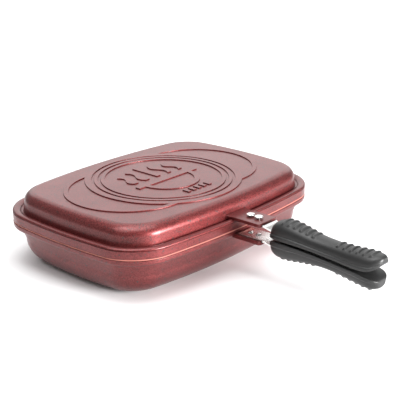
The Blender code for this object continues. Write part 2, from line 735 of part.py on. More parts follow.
def tang_rings(flat_z, tail_z):
    """Sections of a steel strap: flat in the bracket, stepped down, then narrow in the grip."""
    half = TANG_THICKNESS / 2
    stations = (
        (TANG_BACK_Y, TANG_HALF_WIDTH, flat_z),
        (TANG_BEND_Y, TANG_HALF_WIDTH, flat_z),
        (TANG_STEP_Y, TANG_TAIL_HALF_WIDTH, tail_z),
        (TANG_TAIL_Y, TANG_TAIL_HALF_WIDTH, tail_z),
    )
    rings = []
    for y, width, z in stations:
        rings.append([Vector((-width, y, z - half)), Vector((width, y, z - half)),
                      Vector((width, y, z + half)), Vector((-width, y, z + half))])
    return rings


def make_tang(name, flat_z, tail_z, parent):
    tang = loft(name, tang_rings(flat_z, tail_z))
    cuts = []
    for y in rivet_places():
        cuts.append(drill(y, flat_z - TANG_THICKNESS, flat_z + TANG_THICKNESS))
    radius = SCREW_RADIUS + FIT_CLEARANCE
    profile = [(radius, tail_z - TANG_THICKNESS), (radius, tail_z + TANG_THICKNESS)]
    cuts.append(turned("screw_hole", profile, Vector((0, SCREW_Y, 0)), (0, 0, 1), SCREW_STEPS))
    combine(tang, cuts, "DIFFERENCE")
    shade(tang, "polished_steel", TANG_CREASE_ANGLE)
    hang(tang, parent)


def make_rivet(name, y, head_z, tail_z, side, parent):
    """Domed head on the bracket and a smaller closed end on the tang."""
    length = abs(head_z - tail_z)
    profile = [(RIVET_TAIL_RADIUS * ROUNDED_END_SHARE, -length - RIVET_TAIL_HEIGHT),
               (RIVET_TAIL_RADIUS, -length - RIVET_TAIL_HEIGHT / 2),
               (RIVET_TAIL_RADIUS, -length),
               (RIVET_RADIUS, -length),
               (RIVET_RADIUS, 0),
               (RIVET_HEAD_RADIUS, 0)]
    for i in range(1, RIVET_DOME_STEPS):
        angle = math.pi / 2 * i / RIVET_DOME_STEPS
        radius = RIVET_HEAD_RADIUS * math.cos(angle) ** RIVET_DOME_POWER
        profile.append((radius, RIVET_HEAD_HEIGHT * math.sin(angle)))
    rivet = turned(name, profile, Vector((0, y, head_z)), (0, 0, side), RIVET_STEPS)
    shade(rivet, "polished_steel")
    hang(rivet, parent)


def station_at(stations, y):
    """Half width, inner height and outer height of a grip at a place along it."""
    share = (GRIP_FRONT_Y - y) / GRIP_LENGTH
    for first, second in zip(stations, stations[1:]):
        if first[0] <= share <= second[0]:
            blend = (share - first[0]) / (second[0] - first[0])
            return [a + (b - a) * blend for a, b in zip(first[1:], second[1:])]
    return stations[-1][1:]


def crown_share(across):
    """Height of a grip's section, as a share, at a share of its half width."""
    reach = abs(across)
    for first, second in zip(GRIP_SECTION_SHARES[::-1], GRIP_SECTION_SHARES[-2::-1]):
        if first[0] <= reach <= second[0]:
            blend = (reach - first[0]) / (second[0] - first[0])
            return first[1] + (second[1] - first[1]) * blend
    return LIP_SHARE


def grip_body(name, stations):
    rings = []
    for along, wide, inner, outer in stations:
        y = GRIP_FRONT_Y - GRIP_LENGTH * along
        half = GRIP_HALF_WIDTH * wide
        low = SEAM_Z + GRIP_REACH * inner
        high = SEAM_Z + GRIP_REACH * outer
        right = [Vector((half * across, y, low + (high - low) * up))
                 for across, up in GRIP_SECTION_SHARES]
        left = [Vector((-point.x, point.y, point.z)) for point in reversed(right[:-1])]
        rings.append(right + left)
    return loft(name, rings)


def grip_rib(stations, y, side):
    """Low round bar across the crown of a grip."""
    wide, inner, outer = station_at(stations, y)
    low = SEAM_Z + GRIP_REACH * inner
    high = SEAM_Z + GRIP_REACH * outer
    rings = []
    last = len(GRIP_RIB_SPREAD_SHARES) - 1
    for i, spread in enumerate(GRIP_RIB_SPREAD_SHARES):
        radius = GRIP_RIB_RADIUS * (GRIP_RIB_END_SHARE if i in (0, last) else 1)
        x = GRIP_HALF_WIDTH * wide * spread
        surface_z = low + (high - low) * crown_share(spread)
        centre_z = surface_z + side * (GRIP_RIB_PROUD - GRIP_RIB_RADIUS)
        ring = []
        for j in range(GRIP_RIB_SIDES):
            angle = 2 * math.pi * (j + 1 / 2) / GRIP_RIB_SIDES
            ring.append(Vector((x, y + radius * math.cos(angle), centre_z + radius * math.sin(angle))))
        rings.append(ring)
    return loft("rib", rings)


def tang_slot(tang_z, flat_z):
    """Space in a grip for its tang, a fit clearance larger all round."""
    half = TANG_THICKNESS / 2 + FIT_CLEARANCE
    rings = []
    for ring in tang_rings(flat_z, tang_z):
        centre_z = (ring[0].z + ring[2].z) / 2
        width = ring[1].x + FIT_CLEARANCE
        y = ring[0].y
        rings.append([Vector((-width, y, centre_z - half)), Vector((width, y, centre_z - half)),
                      Vector((width, y, centre_z + half)), Vector((-width, y, centre_z + half))])
    for point in rings[-1]:
        point.y -= FIT_CLEARANCE
    return loft("tang_slot", rings)


def inner_face(stations, y):
    return SEAM_Z + GRIP_REACH * station_at(stations, y)[1]


def screw_head_z(stations, side):
    return inner_face(stations, SCREW_Y) + side * (SCREW_HEAD_SINK + SCREW_HEAD_HEIGHT)


def make_grip(name, stations, side, tang_z, flat_z, parent):
    grip = grip_body(name, stations)
    ribs = []
    rows = ((FRONT_RIBS_SHARE, FRONT_RIB_PITCH_SHARE), (REAR_RIBS_SHARE, REAR_RIB_PITCH_SHARE))
    for start, pitch in rows:
        for i in range(RIB_COUNT):
            ribs.append(grip_rib(stations, GRIP_FRONT_Y - GRIP_LENGTH * (start + pitch * i), side))
    combine(grip, ribs, "UNION")
    face_z = inner_face(stations, SCREW_Y)
    seat = abs(screw_head_z(stations, side) - face_z) + FIT_CLEARANCE
    end = abs(tang_z - face_z) + SCREW_REACH + FIT_CLEARANCE
    screw_profile = [(SCREW_HEAD_RADIUS + FIT_CLEARANCE, -OVERRUN),
                     (SCREW_HEAD_RADIUS + FIT_CLEARANCE, seat),
                     (SCREW_RADIUS + FIT_CLEARANCE, seat),
                     (SCREW_RADIUS + FIT_CLEARANCE, end)]
    screw_cut = turned("screw_cut", screw_profile, Vector((0, SCREW_Y, face_z)), (0, 0, side),
                       SCREW_STEPS)
    magnet_face = inner_face(stations, MAGNET_Y)
    depth = MAGNET_SINK + MAGNET_THICKNESS + FIT_CLEARANCE
    magnet_radius = MAGNET_RADIUS + FIT_CLEARANCE
    magnet_cut = turned("magnet_cut", [(magnet_radius, -OVERRUN), (magnet_radius, depth)],
                        Vector((0, MAGNET_Y, magnet_face)), (0, 0, side), MAGNET_STEPS)
    combine(grip, [tang_slot(tang_z, flat_z), screw_cut, magnet_cut], "DIFFERENCE")
    shade(grip, "black_plastic", GRIP_CREASE_ANGLE)
    hang(grip, parent)


def make_grip_screw(name, stations, side, tang_z, parent):
    """Pan head screw with a cross slot; it passes the tang and ends in the grip."""
    seat_z = screw_head_z(stations, side)
    reach = abs(tang_z - seat_z) + SCREW_REACH
    profile = [(SCREW_HEAD_RADIUS, -SCREW_HEAD_HEIGHT), (SCREW_HEAD_RADIUS, 0), (SCREW_RADIUS, 0),
               (SCREW_RADIUS, reach)]
    screw = turned(name, profile, Vector((0, SCREW_Y, seat_z)), (0, 0, side), SCREW_STEPS)
    top_z = seat_z - side * SCREW_HEAD_HEIGHT
    low, high = sorted((top_z - side * OVERRUN, top_z + side * SCREW_SLOT_DEPTH))
    long = SCREW_HEAD_RADIUS * SCREW_SLOT_SHARE
    short = SCREW_SLOT_WIDTH / 2
    slots = []
    for half_x, half_y in ((long, short), (short, long)):
        outline = [(-half_x, SCREW_Y - half_y), (half_x, SCREW_Y - half_y),
                   (half_x, SCREW_Y + half_y), (-half_x, SCREW_Y + half_y)]
        slots.append(prism("slot", outline, low, high))
    combine(screw, slots, "DIFFERENCE")
    shade(screw, "polished_steel")
    hang(screw, parent)


def make_magnet(name, stations, side, parent):
    face_z = inner_face(stations, MAGNET_Y)
    profile = [(MAGNET_RADIUS, MAGNET_SINK), (MAGNET_RADIUS, MAGNET_SINK + MAGNET_THICKNESS)]
    magnet = turned(name, profile, Vector((0, MAGNET_Y, face_z)), (0, 0, side), MAGNET_STEPS)
    shade(magnet, "plated_magnet")
    hang(magnet, parent)


def make_hinge_pin(name, x, parent):
    """Pin with a head inside the inner ear and a closed end outside the outer ear's washer."""
    start = -(KNUCKLE_WIDTH / 2 + EAR_GAP + EAR_WIDTH + FACE_GAP)
    end = -start + WASHER_THICKNESS + FACE_GAP
    profile = [(PIN_HEAD_RADIUS * ROUNDED_END_SHARE, start - PIN_HEAD_LENGTH),
               (PIN_HEAD_RADIUS, start - PIN_HEAD_LENGTH / 2),
               (PIN_HEAD_RADIUS, start), (PIN_RADIUS, start), (PIN_RADIUS, end),
               (PIN_HEAD_RADIUS, end), (PIN_HEAD_RADIUS, end + PIN_HEAD_LENGTH / 2),
               (PIN_HEAD_RADIUS * ROUNDED_END_SHARE, end + PIN_HEAD_LENGTH)]
    pin = turned(name, profile, Vector((x, HINGE_Y, SEAM_Z)), (outward(x), 0, 0), PIN_STEPS)
    shade(pin, "polished_steel")
    pin.parent = parent


def make_hinge_washer(name, x, parent):
    start = KNUCKLE_WIDTH / 2 + EAR_GAP + EAR_WIDTH + FACE_GAP
    rings = []
    for radius, along in ((PIN_RADIUS + FIT_CLEARANCE, start), (WASHER_RADIUS, start),
                          (WASHER_RADIUS, start + WASHER_THICKNESS),
                          (PIN_RADIUS + FIT_CLEARANCE, start + WASHER_THICKNESS)):
        ring = []
        for i in range(PIN_STEPS):
            angle = 2 * math.pi * i / PIN_STEPS
            ring.append(Vector((x + outward(x) * along, HINGE_Y + radius * math.cos(angle),
                                SEAM_Z + radius * math.sin(angle))))
        rings.append(ring)
    washer = closed_loft(name, rings)
    shade(washer, "polished_steel")
    washer.parent = parent


def empty(name, location):
    item = bpy.data.objects.new(name, None)
    item.location = location
    bpy.context.collection.objects.link(item)
    return item


def build():
    clear_scene()
    lower = empty("lower_half", (0, 0, 0))
    upper = empty("upper_half", (0, HINGE_Y, SEAM_Z))
    make_lower_pan(lower)
    make_upper_pan(upper)
    make_gasket(upper)

    upper_flat = UPPER_BRACKET_TOP - BRACKET_PLATE - FACE_GAP - TANG_THICKNESS / 2
    lower_flat = LOWER_BRACKET_BOTTOM + BRACKET_PLATE + FACE_GAP + TANG_THICKNESS / 2
    make_tang("upper_tang", upper_flat, UPPER_TANG_TAIL_Z, upper)
    make_tang("lower_tang", lower_flat, LOWER_TANG_TAIL_Z, lower)
    make_grip("upper_grip", UPPER_GRIP_SHARES, 1, UPPER_TANG_TAIL_Z, upper_flat, upper)
    make_grip("lower_grip", LOWER_GRIP_SHARES, -1, LOWER_TANG_TAIL_Z, lower_flat, lower)

    tang_side = TANG_THICKNESS / 2 + FACE_GAP
    upper_head = UPPER_BRACKET_TOP + FACE_GAP
    lower_head = LOWER_BRACKET_BOTTOM - FACE_GAP
    for number, y in enumerate(rivet_places(), start=1):
        make_rivet(f"upper_rivet_{number}", y, upper_head, upper_flat - tang_side, 1, upper)
        make_rivet(f"lower_rivet_{number}", y, lower_head, lower_flat + tang_side, -1, lower)

    make_grip_screw("upper_grip_screw", UPPER_GRIP_SHARES, 1, UPPER_TANG_TAIL_Z, upper)
    make_grip_screw("lower_grip_screw", LOWER_GRIP_SHARES, -1, LOWER_TANG_TAIL_Z, lower)
    make_magnet("upper_magnet", UPPER_GRIP_SHARES, 1, upper)
    make_magnet("lower_magnet", LOWER_GRIP_SHARES, -1, lower)
    for side, x in zip(("left", "right"), hinge_centres()):
        make_hinge_pin(f"hinge_pin_{side}", x, lower)
        make_hinge_washer(f"hinge_washer_{side}", x, lower)


build()
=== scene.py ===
"""Looks of the double sided flip pan: fine meshes and finishes around the fixed frame.

Metres, +Z up.  The handles point to -Y, the hinge is at +Y and the pan stands on z = 0.
"""
import math

import bmesh
import bpy
from mathutils import Matrix, Vector


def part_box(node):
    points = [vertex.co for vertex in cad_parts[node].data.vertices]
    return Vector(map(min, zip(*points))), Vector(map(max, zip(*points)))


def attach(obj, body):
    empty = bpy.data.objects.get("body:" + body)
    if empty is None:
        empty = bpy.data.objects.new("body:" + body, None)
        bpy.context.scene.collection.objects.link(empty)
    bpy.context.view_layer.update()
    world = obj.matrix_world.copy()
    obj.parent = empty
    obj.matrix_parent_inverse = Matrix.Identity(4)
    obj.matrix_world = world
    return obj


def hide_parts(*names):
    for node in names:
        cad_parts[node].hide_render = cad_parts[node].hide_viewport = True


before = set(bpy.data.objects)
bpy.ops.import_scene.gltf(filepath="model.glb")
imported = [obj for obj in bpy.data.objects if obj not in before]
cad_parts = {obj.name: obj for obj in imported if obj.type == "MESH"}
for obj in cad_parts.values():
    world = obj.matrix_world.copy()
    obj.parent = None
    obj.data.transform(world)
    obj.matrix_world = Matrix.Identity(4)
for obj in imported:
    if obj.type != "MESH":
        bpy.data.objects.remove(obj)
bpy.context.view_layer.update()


# Lower pan: the deep half, cast in aluminium in one piece with its handle bracket and the hinge
# ears, then sprayed all over with a burgundy non-stick coat that holds metal flake and dark specks.
HALF_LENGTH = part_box("lower_pan")[1].x
HALF_WIDTH = 0.1250
RIM_CORNER = 0.0425
SHORT_SIDE_BOW = 0.0084
LONG_SIDE_BOW = 0.0126
CORNER_SHRINK_SHARE = 0.7
CORNER_STEPS = 18
LONG_SIDE_STEPS = 36
SHORT_SIDE_STEPS = 24
LOWER_DEPTH = 0.0521
LOWER_BAND = 0.0035
RIM_EDGE = 0.0006
UNDERCUT_INSET = 0.0075
UNDERCUT_HEIGHT = 0.0045
WALL_DRAFT = 0.0045
BOTTOM_ROUND = 0.0300
BASE_INSET_X = 0.0380
BASE_INSET_Y = 0.0450
BASE_THICKNESS = 0.0050
WALL_THICKNESS = 0.0040
MOUTH_INSET = 0.0150
FLOOR_EXTRA = 0.0020
ROUND_STEPS = 16
EDGE_STEPS = 4
OVERRUN = 0.0010
WELD = 0.00001
CREASE = math.radians(32.0)

BRACKET_HALF = 0.0160
BRACKET_ROOT_HALF = 0.0215
BRACKET_ROOT_Y = -0.1120
BRACKET_FLARE_Y = -0.1270
BRACKET_FRONT_Y = -0.1620
BRACKET_CORNER = 0.0030
BRACKET_EDGE = 0.0006
BRACKET_WALL = 0.0030
BRACKET_PLATE = 0.0030
CROWN_DROP = 0.0020
CROWN_POWER = 2.6
FLARE_POWER = 5
FRONT_EASE_SHARE = 0.99
SWEEP_START_SHARE = 0.45
LOWER_SWEEP = 0.0010
LOWER_BRACKET_BOTTOM = 0.0443
LOWER_BRACKET_TOP = 0.0505
CHANNEL_BACK_Y = -0.1265
RIVET_PLACES = (-0.1359, -0.1476)
RIVET_HOLE = 0.0025

HINGE_X = 0.0800
HINGE_Y = 0.1340
HINGE_Z = 0.0531
EAR_RADIUS = 0.00645
EAR_INNER = 0.0044
EAR_OUTER = 0.0094
EAR_ROOT_Y = 0.1132
EAR_ROOT_HEIGHT = 0.0062
EAR_NECK_ANGLE = math.radians(195.0)
BORE_RADIUS = 0.0028
BORE_REACH = 0.0110
TURN_STEPS = 48

COAT_DEEP = (0.080, 0.0100, 0.0100)
COAT_BRIGHT = (0.205, 0.0330, 0.0330)
COAT_SPECK = (0.012, 0.004, 0.004)
COAT_FLAKE_SCALE = 1300.0
COAT_SPECK_SCALE = 330.0
COAT_MOTTLE_SCALE = 38.0
COAT_PEEL_SCALE = 420.0
COAT_WANDER_SCALE = 700.0
COAT_DETAIL = 3.0
COAT_PEEL_DEPTH = 0.0002
COAT_PEEL_STRENGTH = 0.35
# Shares by which flake, mottle and specks act, and the ends between which they set in
MOTTLE_SHARE = 0.35
FLAKE_SHARE = 0.65
TONE_ENDS_SHARES = (0.12, 0.78)
WANDER_SHARE = 0.004
SPECK_EDGE_SHARES = (0.36, 0.20)
SPECK_CHANCE_SHARES = (0.72, 0.84)
COAT_ROUGH_SHARES = (0.44, 0.08, 0.06)
COAT_METAL_SHARES = (0.90, 0.7)
CLEAR_COAT_SHARES = (0.55, 0.2)
CLEAR_COAT_ROUGH_SHARE = 0.26


class Field:
    """A value that varies over a surface: a sum on it adds Math nodes to its finish."""

    def __init__(self, finish, socket):
        self.finish = finish
        self.socket = socket

    def maths(self, operation, first, second):
        return self.finish.node("ShaderNodeMath", {"operation": operation}, {0: first, 1: second})

    def output(self, name):
        return Field(self.finish, self.socket.node.outputs[name])

    def __add__(self, other):
        return self.maths("ADD", self, other)

    __radd__ = __add__

    def __rsub__(self, other):
        return self.maths("SUBTRACT", other, self)

    def __mul__(self, other):
        return self.maths("MULTIPLY", self, other)


class Finish:
    """A material on one Principled shader, whose nodes are added one by one."""

    def __init__(self, name, metallic=0.0, roughness=0.5):
        self.material = bpy.data.materials.new(name)
        self.material.use_nodes = True
        self.tree = self.material.node_tree
        self.shader = self.tree.nodes["Principled BSDF"]
        self.feed("Metallic", metallic)
        self.feed("Roughness", roughness)

    def node(self, kind, settings, values, output=0):
        made = self.tree.nodes.new(kind)
        for name, value in settings.items():
            setattr(made, name, value)
        for key, value in values.items():
            self.fill(made.inputs[key], value)
        return Field(self, made.outputs[output])

    def fill(self, socket, value):
        if isinstance(value, Field):
            self.tree.links.new(value.socket, socket)
        else:
            socket.default_value = value

    def feed(self, name, value):
        self.fill(self.shader.inputs[name], value)

    def place(self):
        return self.node("ShaderNodeTexCoord", {}, {}, "Object")

    def noise(self, place, scale, detail=2.0):
        return self.node("ShaderNodeTexNoise", {}, {"Vector": place, "Scale": scale, "Detail": detail})

    def cells(self, place, scale):
        return self.node("ShaderNodeTexVoronoi", {}, {"Vector": place, "Scale": scale}, "Distance")

    def step(self, value, low, high):
        ends = {"Value": value, "From Min": low, "From Max": high}
        return self.node("ShaderNodeMapRange", {"interpolation_type": "SMOOTHSTEP"}, ends)

    def blend(self, share, first, second):
        colours = {0: share}
        for key, colour in ((6, first), (7, second)):
            colours[key] = colour if isinstance(colour, Field) else (*colour, 1.0)
        return self.node("ShaderNodeMix", {"data_type": "RGBA"}, colours, 2)

    def bump(self, height, distance, strength):
        values = {"Height": height, "Distance": distance, "Strength": strength}
        self.feed("Normal", self.node("ShaderNodeBump", {}, values))


def granite_coat():
    """Burgundy non-stick coat: metal flake, cloudy tone, sparse dark specks and a fine peel."""
    coat = Finish("granite_coat")
    place = coat.place()
    mottle = coat.noise(place, COAT_MOTTLE_SCALE, COAT_DETAIL)
    flake = coat.cells(place, COAT_FLAKE_SCALE)
    sparkle = coat.node("ShaderNodeSeparateColor", {}, {"Color": flake.output("Color")})
    tone = coat.step(mottle * MOTTLE_SHARE + sparkle * FLAKE_SHARE, *TONE_ENDS_SHARES)
    wander = coat.node("ShaderNodeTexNoise", {}, {"Vector": place, "Scale": COAT_WANDER_SCALE}, "Color")
    ends = {0: WANDER_SHARE, 4: place, 5: wander}
    shifted = coat.node("ShaderNodeMix", {"data_type": "VECTOR"}, ends, 1)
    cell = coat.cells(shifted, COAT_SPECK_SCALE)
    chance = coat.node("ShaderNodeSeparateColor", {}, {"Color": cell.output("Color")})
    small = coat.step(cell, *SPECK_EDGE_SHARES)
    speck = small * coat.step(chance, *SPECK_CHANCE_SHARES)
    body = coat.blend(tone, COAT_DEEP, COAT_BRIGHT)
    coat.feed("Base Color", coat.blend(speck, body, COAT_SPECK))
    rough, flaky, cloudy = COAT_ROUGH_SHARES
    coat.feed("Roughness", rough + sparkle * flaky + mottle * cloudy)
    metal, bare = COAT_METAL_SHARES
    coat.feed("Metallic", metal - speck * bare)
    clear, uneven = CLEAR_COAT_SHARES
    coat.feed("Coat Weight", clear + mottle * uneven)
    coat.feed("Coat Roughness", CLEAR_COAT_ROUGH_SHARE)
    coat.bump(coat.noise(place, COAT_PEEL_SCALE), COAT_PEEL_DEPTH, COAT_PEEL_STRENGTH)
    return coat.material


def link(name, mesh):
    item = bpy.data.objects.new(name, mesh)
    bpy.context.scene.collection.objects.link(item)
    return item


def loft(name, rings, closed=False):
    """Closed body through rings of equal length; a closed one joins its last ring to its first."""
    bm = bmesh.new()
    rows = [[bm.verts.new(point) for point in ring] for ring in rings]
    pairs = list(zip(rows, rows[1:]))
    if closed:
        pairs.append((rows[-1], rows[0]))
    else:
        bm.faces.new(rows[0])
        bm.faces.new(rows[-1])
    count = len(rows[0])
    for first, second in pairs:
        for i in range(count):
            j = (i + 1) % count
            bm.faces.new((first[i], first[j], second[j], second[i]))
    bmesh.ops.recalc_face_normals(bm, faces=bm.faces)
    mesh = bpy.data.meshes.new(name)
    bm.to_mesh(mesh)
    bm.free()
    return link(name, mesh)


def combine(target, tools, operation):
    """Join the tools to the target or cut them out of it."""
    for tool in tools:
        modifier = target.modifiers.new(operation.title(), "BOOLEAN")
        modifier.operation = operation
        modifier.object = tool
    depsgraph = bpy.context.evaluated_depsgraph_get()
    target.data = bpy.data.meshes.new_from_object(target.evaluated_get(depsgraph))
    target.modifiers.clear()
    for tool in tools:
        bpy.data.objects.remove(tool)


def dress(item, material, body, node, crease=CREASE):
    """Weld and shade a finished piece, give it its finish and let it stand for its frame node."""
    bm = bmesh.new()
    bm.from_mesh(item.data)
    bmesh.ops.remove_doubles(bm, verts=bm.verts, dist=WELD)
    bmesh.ops.dissolve_degenerate(bm, edges=bm.edges, dist=WELD)
    bm.to_mesh(item.data)
    bm.free()
    item.data.materials.clear()
    item.data.materials.append(material)
    item.data.shade_smooth()
    item.data.set_sharp_from_angle(angle=crease)
    weighted = item.modifiers.new("Flat faces keep their normals", "WEIGHTED_NORMAL")
    weighted.keep_sharp = True
    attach(item, body)
    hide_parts(node)


def rim_line(inset_x, inset_y):
    """Rounded rectangle with bowed sides, inset from the rim, counter-clockwise."""
    corner = RIM_CORNER - CORNER_SHRINK_SHARE * (inset_x + inset_y) / 2
    flat_x = HALF_LENGTH - inset_x - SHORT_SIDE_BOW
    flat_y = HALF_WIDTH - inset_y - LONG_SIDE_BOW
    arcs = []
    for turn, (sign_x, sign_y) in enumerate(((1, 1), (-1, 1), (-1, -1), (1, -1))):
        centre = Vector((sign_x * (flat_x - corner), sign_y * (flat_y - corner)))
        angles = [math.pi / 2 * (turn + i / CORNER_STEPS) for i in range(CORNER_STEPS + 1)]
        arcs.append([centre + corner * Vector((math.cos(a), math.sin(a))) for a in angles])
    line = []
    for turn, arc in enumerate(arcs):
        line.extend(arc)
        steps = LONG_SIDE_STEPS if turn % 2 == 0 else SHORT_SIDE_STEPS
        start = arcs[(turn + 1) % 4][0]
        line.extend(arc[-1].lerp(start, i / steps) for i in range(1, steps))
    bowed = []
    for x, y in line:
        share_x = x / flat_x
        share_y = y / flat_y
        bowed.append((x + SHORT_SIDE_BOW * (1 - share_y ** 2) * share_x,
                      y + LONG_SIDE_BOW * (1 - share_x ** 2) * share_y))
    return bowed


def rim_rings(profile):
    """One ring round the pan for each (inset x, inset y, height) of a profile."""
    return [[Vector((x, y, z)) for x, y in rim_line(inset_x, inset_y)] for inset_x, inset_y, z in profile]


def quarter(start, end, steps, flat_first):
    """Quarter ellipse between two profile points, which leaves the first point along or across."""
    points = []
    for i in range(steps + 1):
        angle = math.pi / 2 * i / steps
        fast = math.sin(angle)
        slow = 1 - math.cos(angle)
        across, up = (fast, slow) if flat_first else (slow, fast)
        points.append((start[0] + (end[0] - start[0]) * across,
                       start[1] + (end[1] - start[1]) * across,
                       start[2] + (end[2] - start[2]) * up))
    return points


def even(inset, z):
    return (inset, inset, z)


def lower_profile():
    """From the cavity's floor up its wall, over the rim and down the outside to the base."""
    inner = UNDERCUT_INSET + WALL_DRAFT + WALL_THICKNESS
    floor = (BASE_INSET_X + FLOOR_EXTRA, BASE_INSET_Y + FLOOR_EXTRA, BASE_THICKNESS)
    profile = quarter(floor, even(inner, BOTTOM_ROUND), ROUND_STEPS, True)
    profile.append(even(MOUTH_INSET, LOWER_DEPTH - LOWER_BAND))
    profile += quarter(even(MOUTH_INSET, LOWER_DEPTH - RIM_EDGE), even(MOUTH_INSET - RIM_EDGE, LOWER_DEPTH),
                       EDGE_STEPS, False)
    profile += quarter(even(RIM_EDGE, LOWER_DEPTH), even(0, LOWER_DEPTH - RIM_EDGE), EDGE_STEPS, True)
    under = LOWER_DEPTH - LOWER_BAND
    profile += quarter(even(0, under), even(UNDERCUT_INSET, under - UNDERCUT_HEIGHT), ROUND_STEPS, False)
    wall = UNDERCUT_INSET + WALL_DRAFT
    profile += quarter(even(wall, BOTTOM_ROUND), (BASE_INSET_X, BASE_INSET_Y, 0), ROUND_STEPS, False)
    return profile


def eased_box(half_x, low, high, edge, steps=EDGE_STEPS):
    """Rounded rectangle in X and Z, as (x, z) points, counter-clockwise seen from -Y."""
    corners = ((half_x - edge, high - edge, 0), (edge - half_x, high - edge, 1),
               (edge - half_x, low + edge, 2), (half_x - edge, low + edge, 3))
    points = []
    for x, z, turn in corners:
        for i in range(steps + 1):
            angle = math.pi / 2 * (turn + i / steps)
            points.append((x + edge * math.cos(angle), z + edge * math.sin(angle)))
    return points


def bracket_stations():
    """Places along the bracket with its half width there: eased front, corner, flare to the root."""
    stations = []
    for i in range(EDGE_STEPS + 1):
        angle = math.pi / 2 * i / EDGE_STEPS
        stations.append((BRACKET_FRONT_Y + BRACKET_CORNER * (1 - math.cos(angle)),
                         BRACKET_HALF - BRACKET_CORNER * (1 - math.sin(angle))))
    reach = BRACKET_ROOT_Y - BRACKET_FLARE_Y
    for i in range(ROUND_STEPS + 1):
        share = i / ROUND_STEPS
        grow = (BRACKET_ROOT_HALF - BRACKET_HALF) * share ** FLARE_POWER
        stations.append((BRACKET_FLARE_Y + reach * share, BRACKET_HALF + grow))
    return stations


def crowned(x, z, high):
    """Height of a point of a bracket: its top edges fall away towards both sides."""
    return z - CROWN_DROP * abs(x / BRACKET_HALF) ** CROWN_POWER * (z > high - 2 * BRACKET_EDGE)


def bracket(low, high, lift_low, lift_high):
    """Handle bracket lofted from its front to its root, where its faces sweep into the wall."""
    rings = []
    stations = bracket_stations()
    half_edge = BRACKET_EDGE / 2
    front_box = eased_box(stations[0][1], low + half_edge, high - half_edge, BRACKET_EDGE)
    front = [(x * FRONT_EASE_SHARE, z) for x, z in front_box]
    rings.append([Vector((x, stations[0][0], crowned(x, z, high))) for x, z in front])
    reach = BRACKET_ROOT_Y - BRACKET_FLARE_Y
    for y, half in stations:
        share = max(0, (y - BRACKET_FLARE_Y) / reach)
        sweep = max(0, (share - SWEEP_START_SHARE) / (1 - SWEEP_START_SHARE)) ** 2
        box = eased_box(half, low - lift_low * sweep, high + lift_high * sweep, BRACKET_EDGE)
        rings.append([Vector((x, y + half_edge, crowned(x, z, high))) for x, z in box])
    return loft("bracket", rings)


def block(name, low, high):
    """Cutter between two corners."""
    rings = []
    for z in (low[2], high[2]):
        rings.append([Vector((low[0], low[1], z)), Vector((high[0], low[1], z)),
                      Vector((high[0], high[1], z)), Vector((low[0], high[1], z))])
    return loft(name, rings)


def turned(name, profile, centre, axis, steps=TURN_STEPS, closed=False):
    """Turn (radius, distance) points about an axis through the centre."""
    turn = Vector((0, 0, 1)).rotation_difference(Vector(axis)).to_matrix()
    rings = []
    for radius, distance in profile:
        ring = []
        for i in range(steps):
            angle = 2 * math.pi * i / steps
            spot = Vector((radius * math.cos(angle), radius * math.sin(angle), distance))
            ring.append(Vector(centre) + turn @ spot)
        rings.append(ring)
    return loft(name, rings, closed)


def eye_outline(root_y, side):
    """Side view of a hinge ear: a round eye on the axis with a web back into the rim."""
    points = []
    for i in range(TURN_STEPS + 1):
        angle = -math.pi / 2 + (math.pi / 2 + EAR_NECK_ANGLE) * i / TURN_STEPS
        rise = side * EAR_RADIUS * math.sin(angle)
        points.append((HINGE_Y + EAR_RADIUS * math.cos(angle), HINGE_Z + rise))
    neck = points[-1][1]
    points.append((root_y, neck))
    points.append((root_y, neck - side * EAR_ROOT_HEIGHT))
    return points


def eye(start, end, root_y, side):
    outline = eye_outline(root_y, side)
    return loft("eye", [[Vector((x, y, z)) for y, z in outline] for x in (start, end)])


def bores():
    line = [(BORE_RADIUS, -BORE_REACH), (BORE_RADIUS, BORE_REACH)]
    return [turned("bore", line, (side * HINGE_X, HINGE_Y, HINGE_Z), (1, 0, 0)) for side in (-1, 1)]


def rivet_holes(low, high):
    line = [(RIVET_HOLE, low), (RIVET_HOLE, high)]
    return [turned("hole", line, (0, y, 0), (0, 0, 1)) for y in RIVET_PLACES]


def channel(low, high):
    half = BRACKET_HALF - BRACKET_WALL
    return block("channel", (-half, BRACKET_FRONT_Y - OVERRUN, low), (half, CHANNEL_BACK_Y, high))


coat_material = granite_coat()
lower_pan = loft("lower_pan_cast", rim_rings(lower_profile()))
lower_parts = [bracket(LOWER_BRACKET_BOTTOM, LOWER_BRACKET_TOP, LOWER_SWEEP, 0)]
for side in (-1, 1):
    for first, second in ((-EAR_OUTER, -EAR_INNER), (EAR_INNER, EAR_OUTER)):
        lower_parts.append(eye(side * HINGE_X + first, side * HINGE_X + second, EAR_ROOT_Y, 1))
combine(lower_pan, lower_parts, "UNION")
lower_plate = LOWER_BRACKET_BOTTOM + BRACKET_PLATE
lower_cuts = [channel(lower_plate, LOWER_BRACKET_TOP + OVERRUN), *bores()]
lower_cuts += rivet_holes(LOWER_BRACKET_BOTTOM - OVERRUN, lower_plate + OVERRUN)
combine(lower_pan, lower_cuts, "DIFFERENCE")
dress(lower_pan, coat_material, "lower_half", "lower_pan")


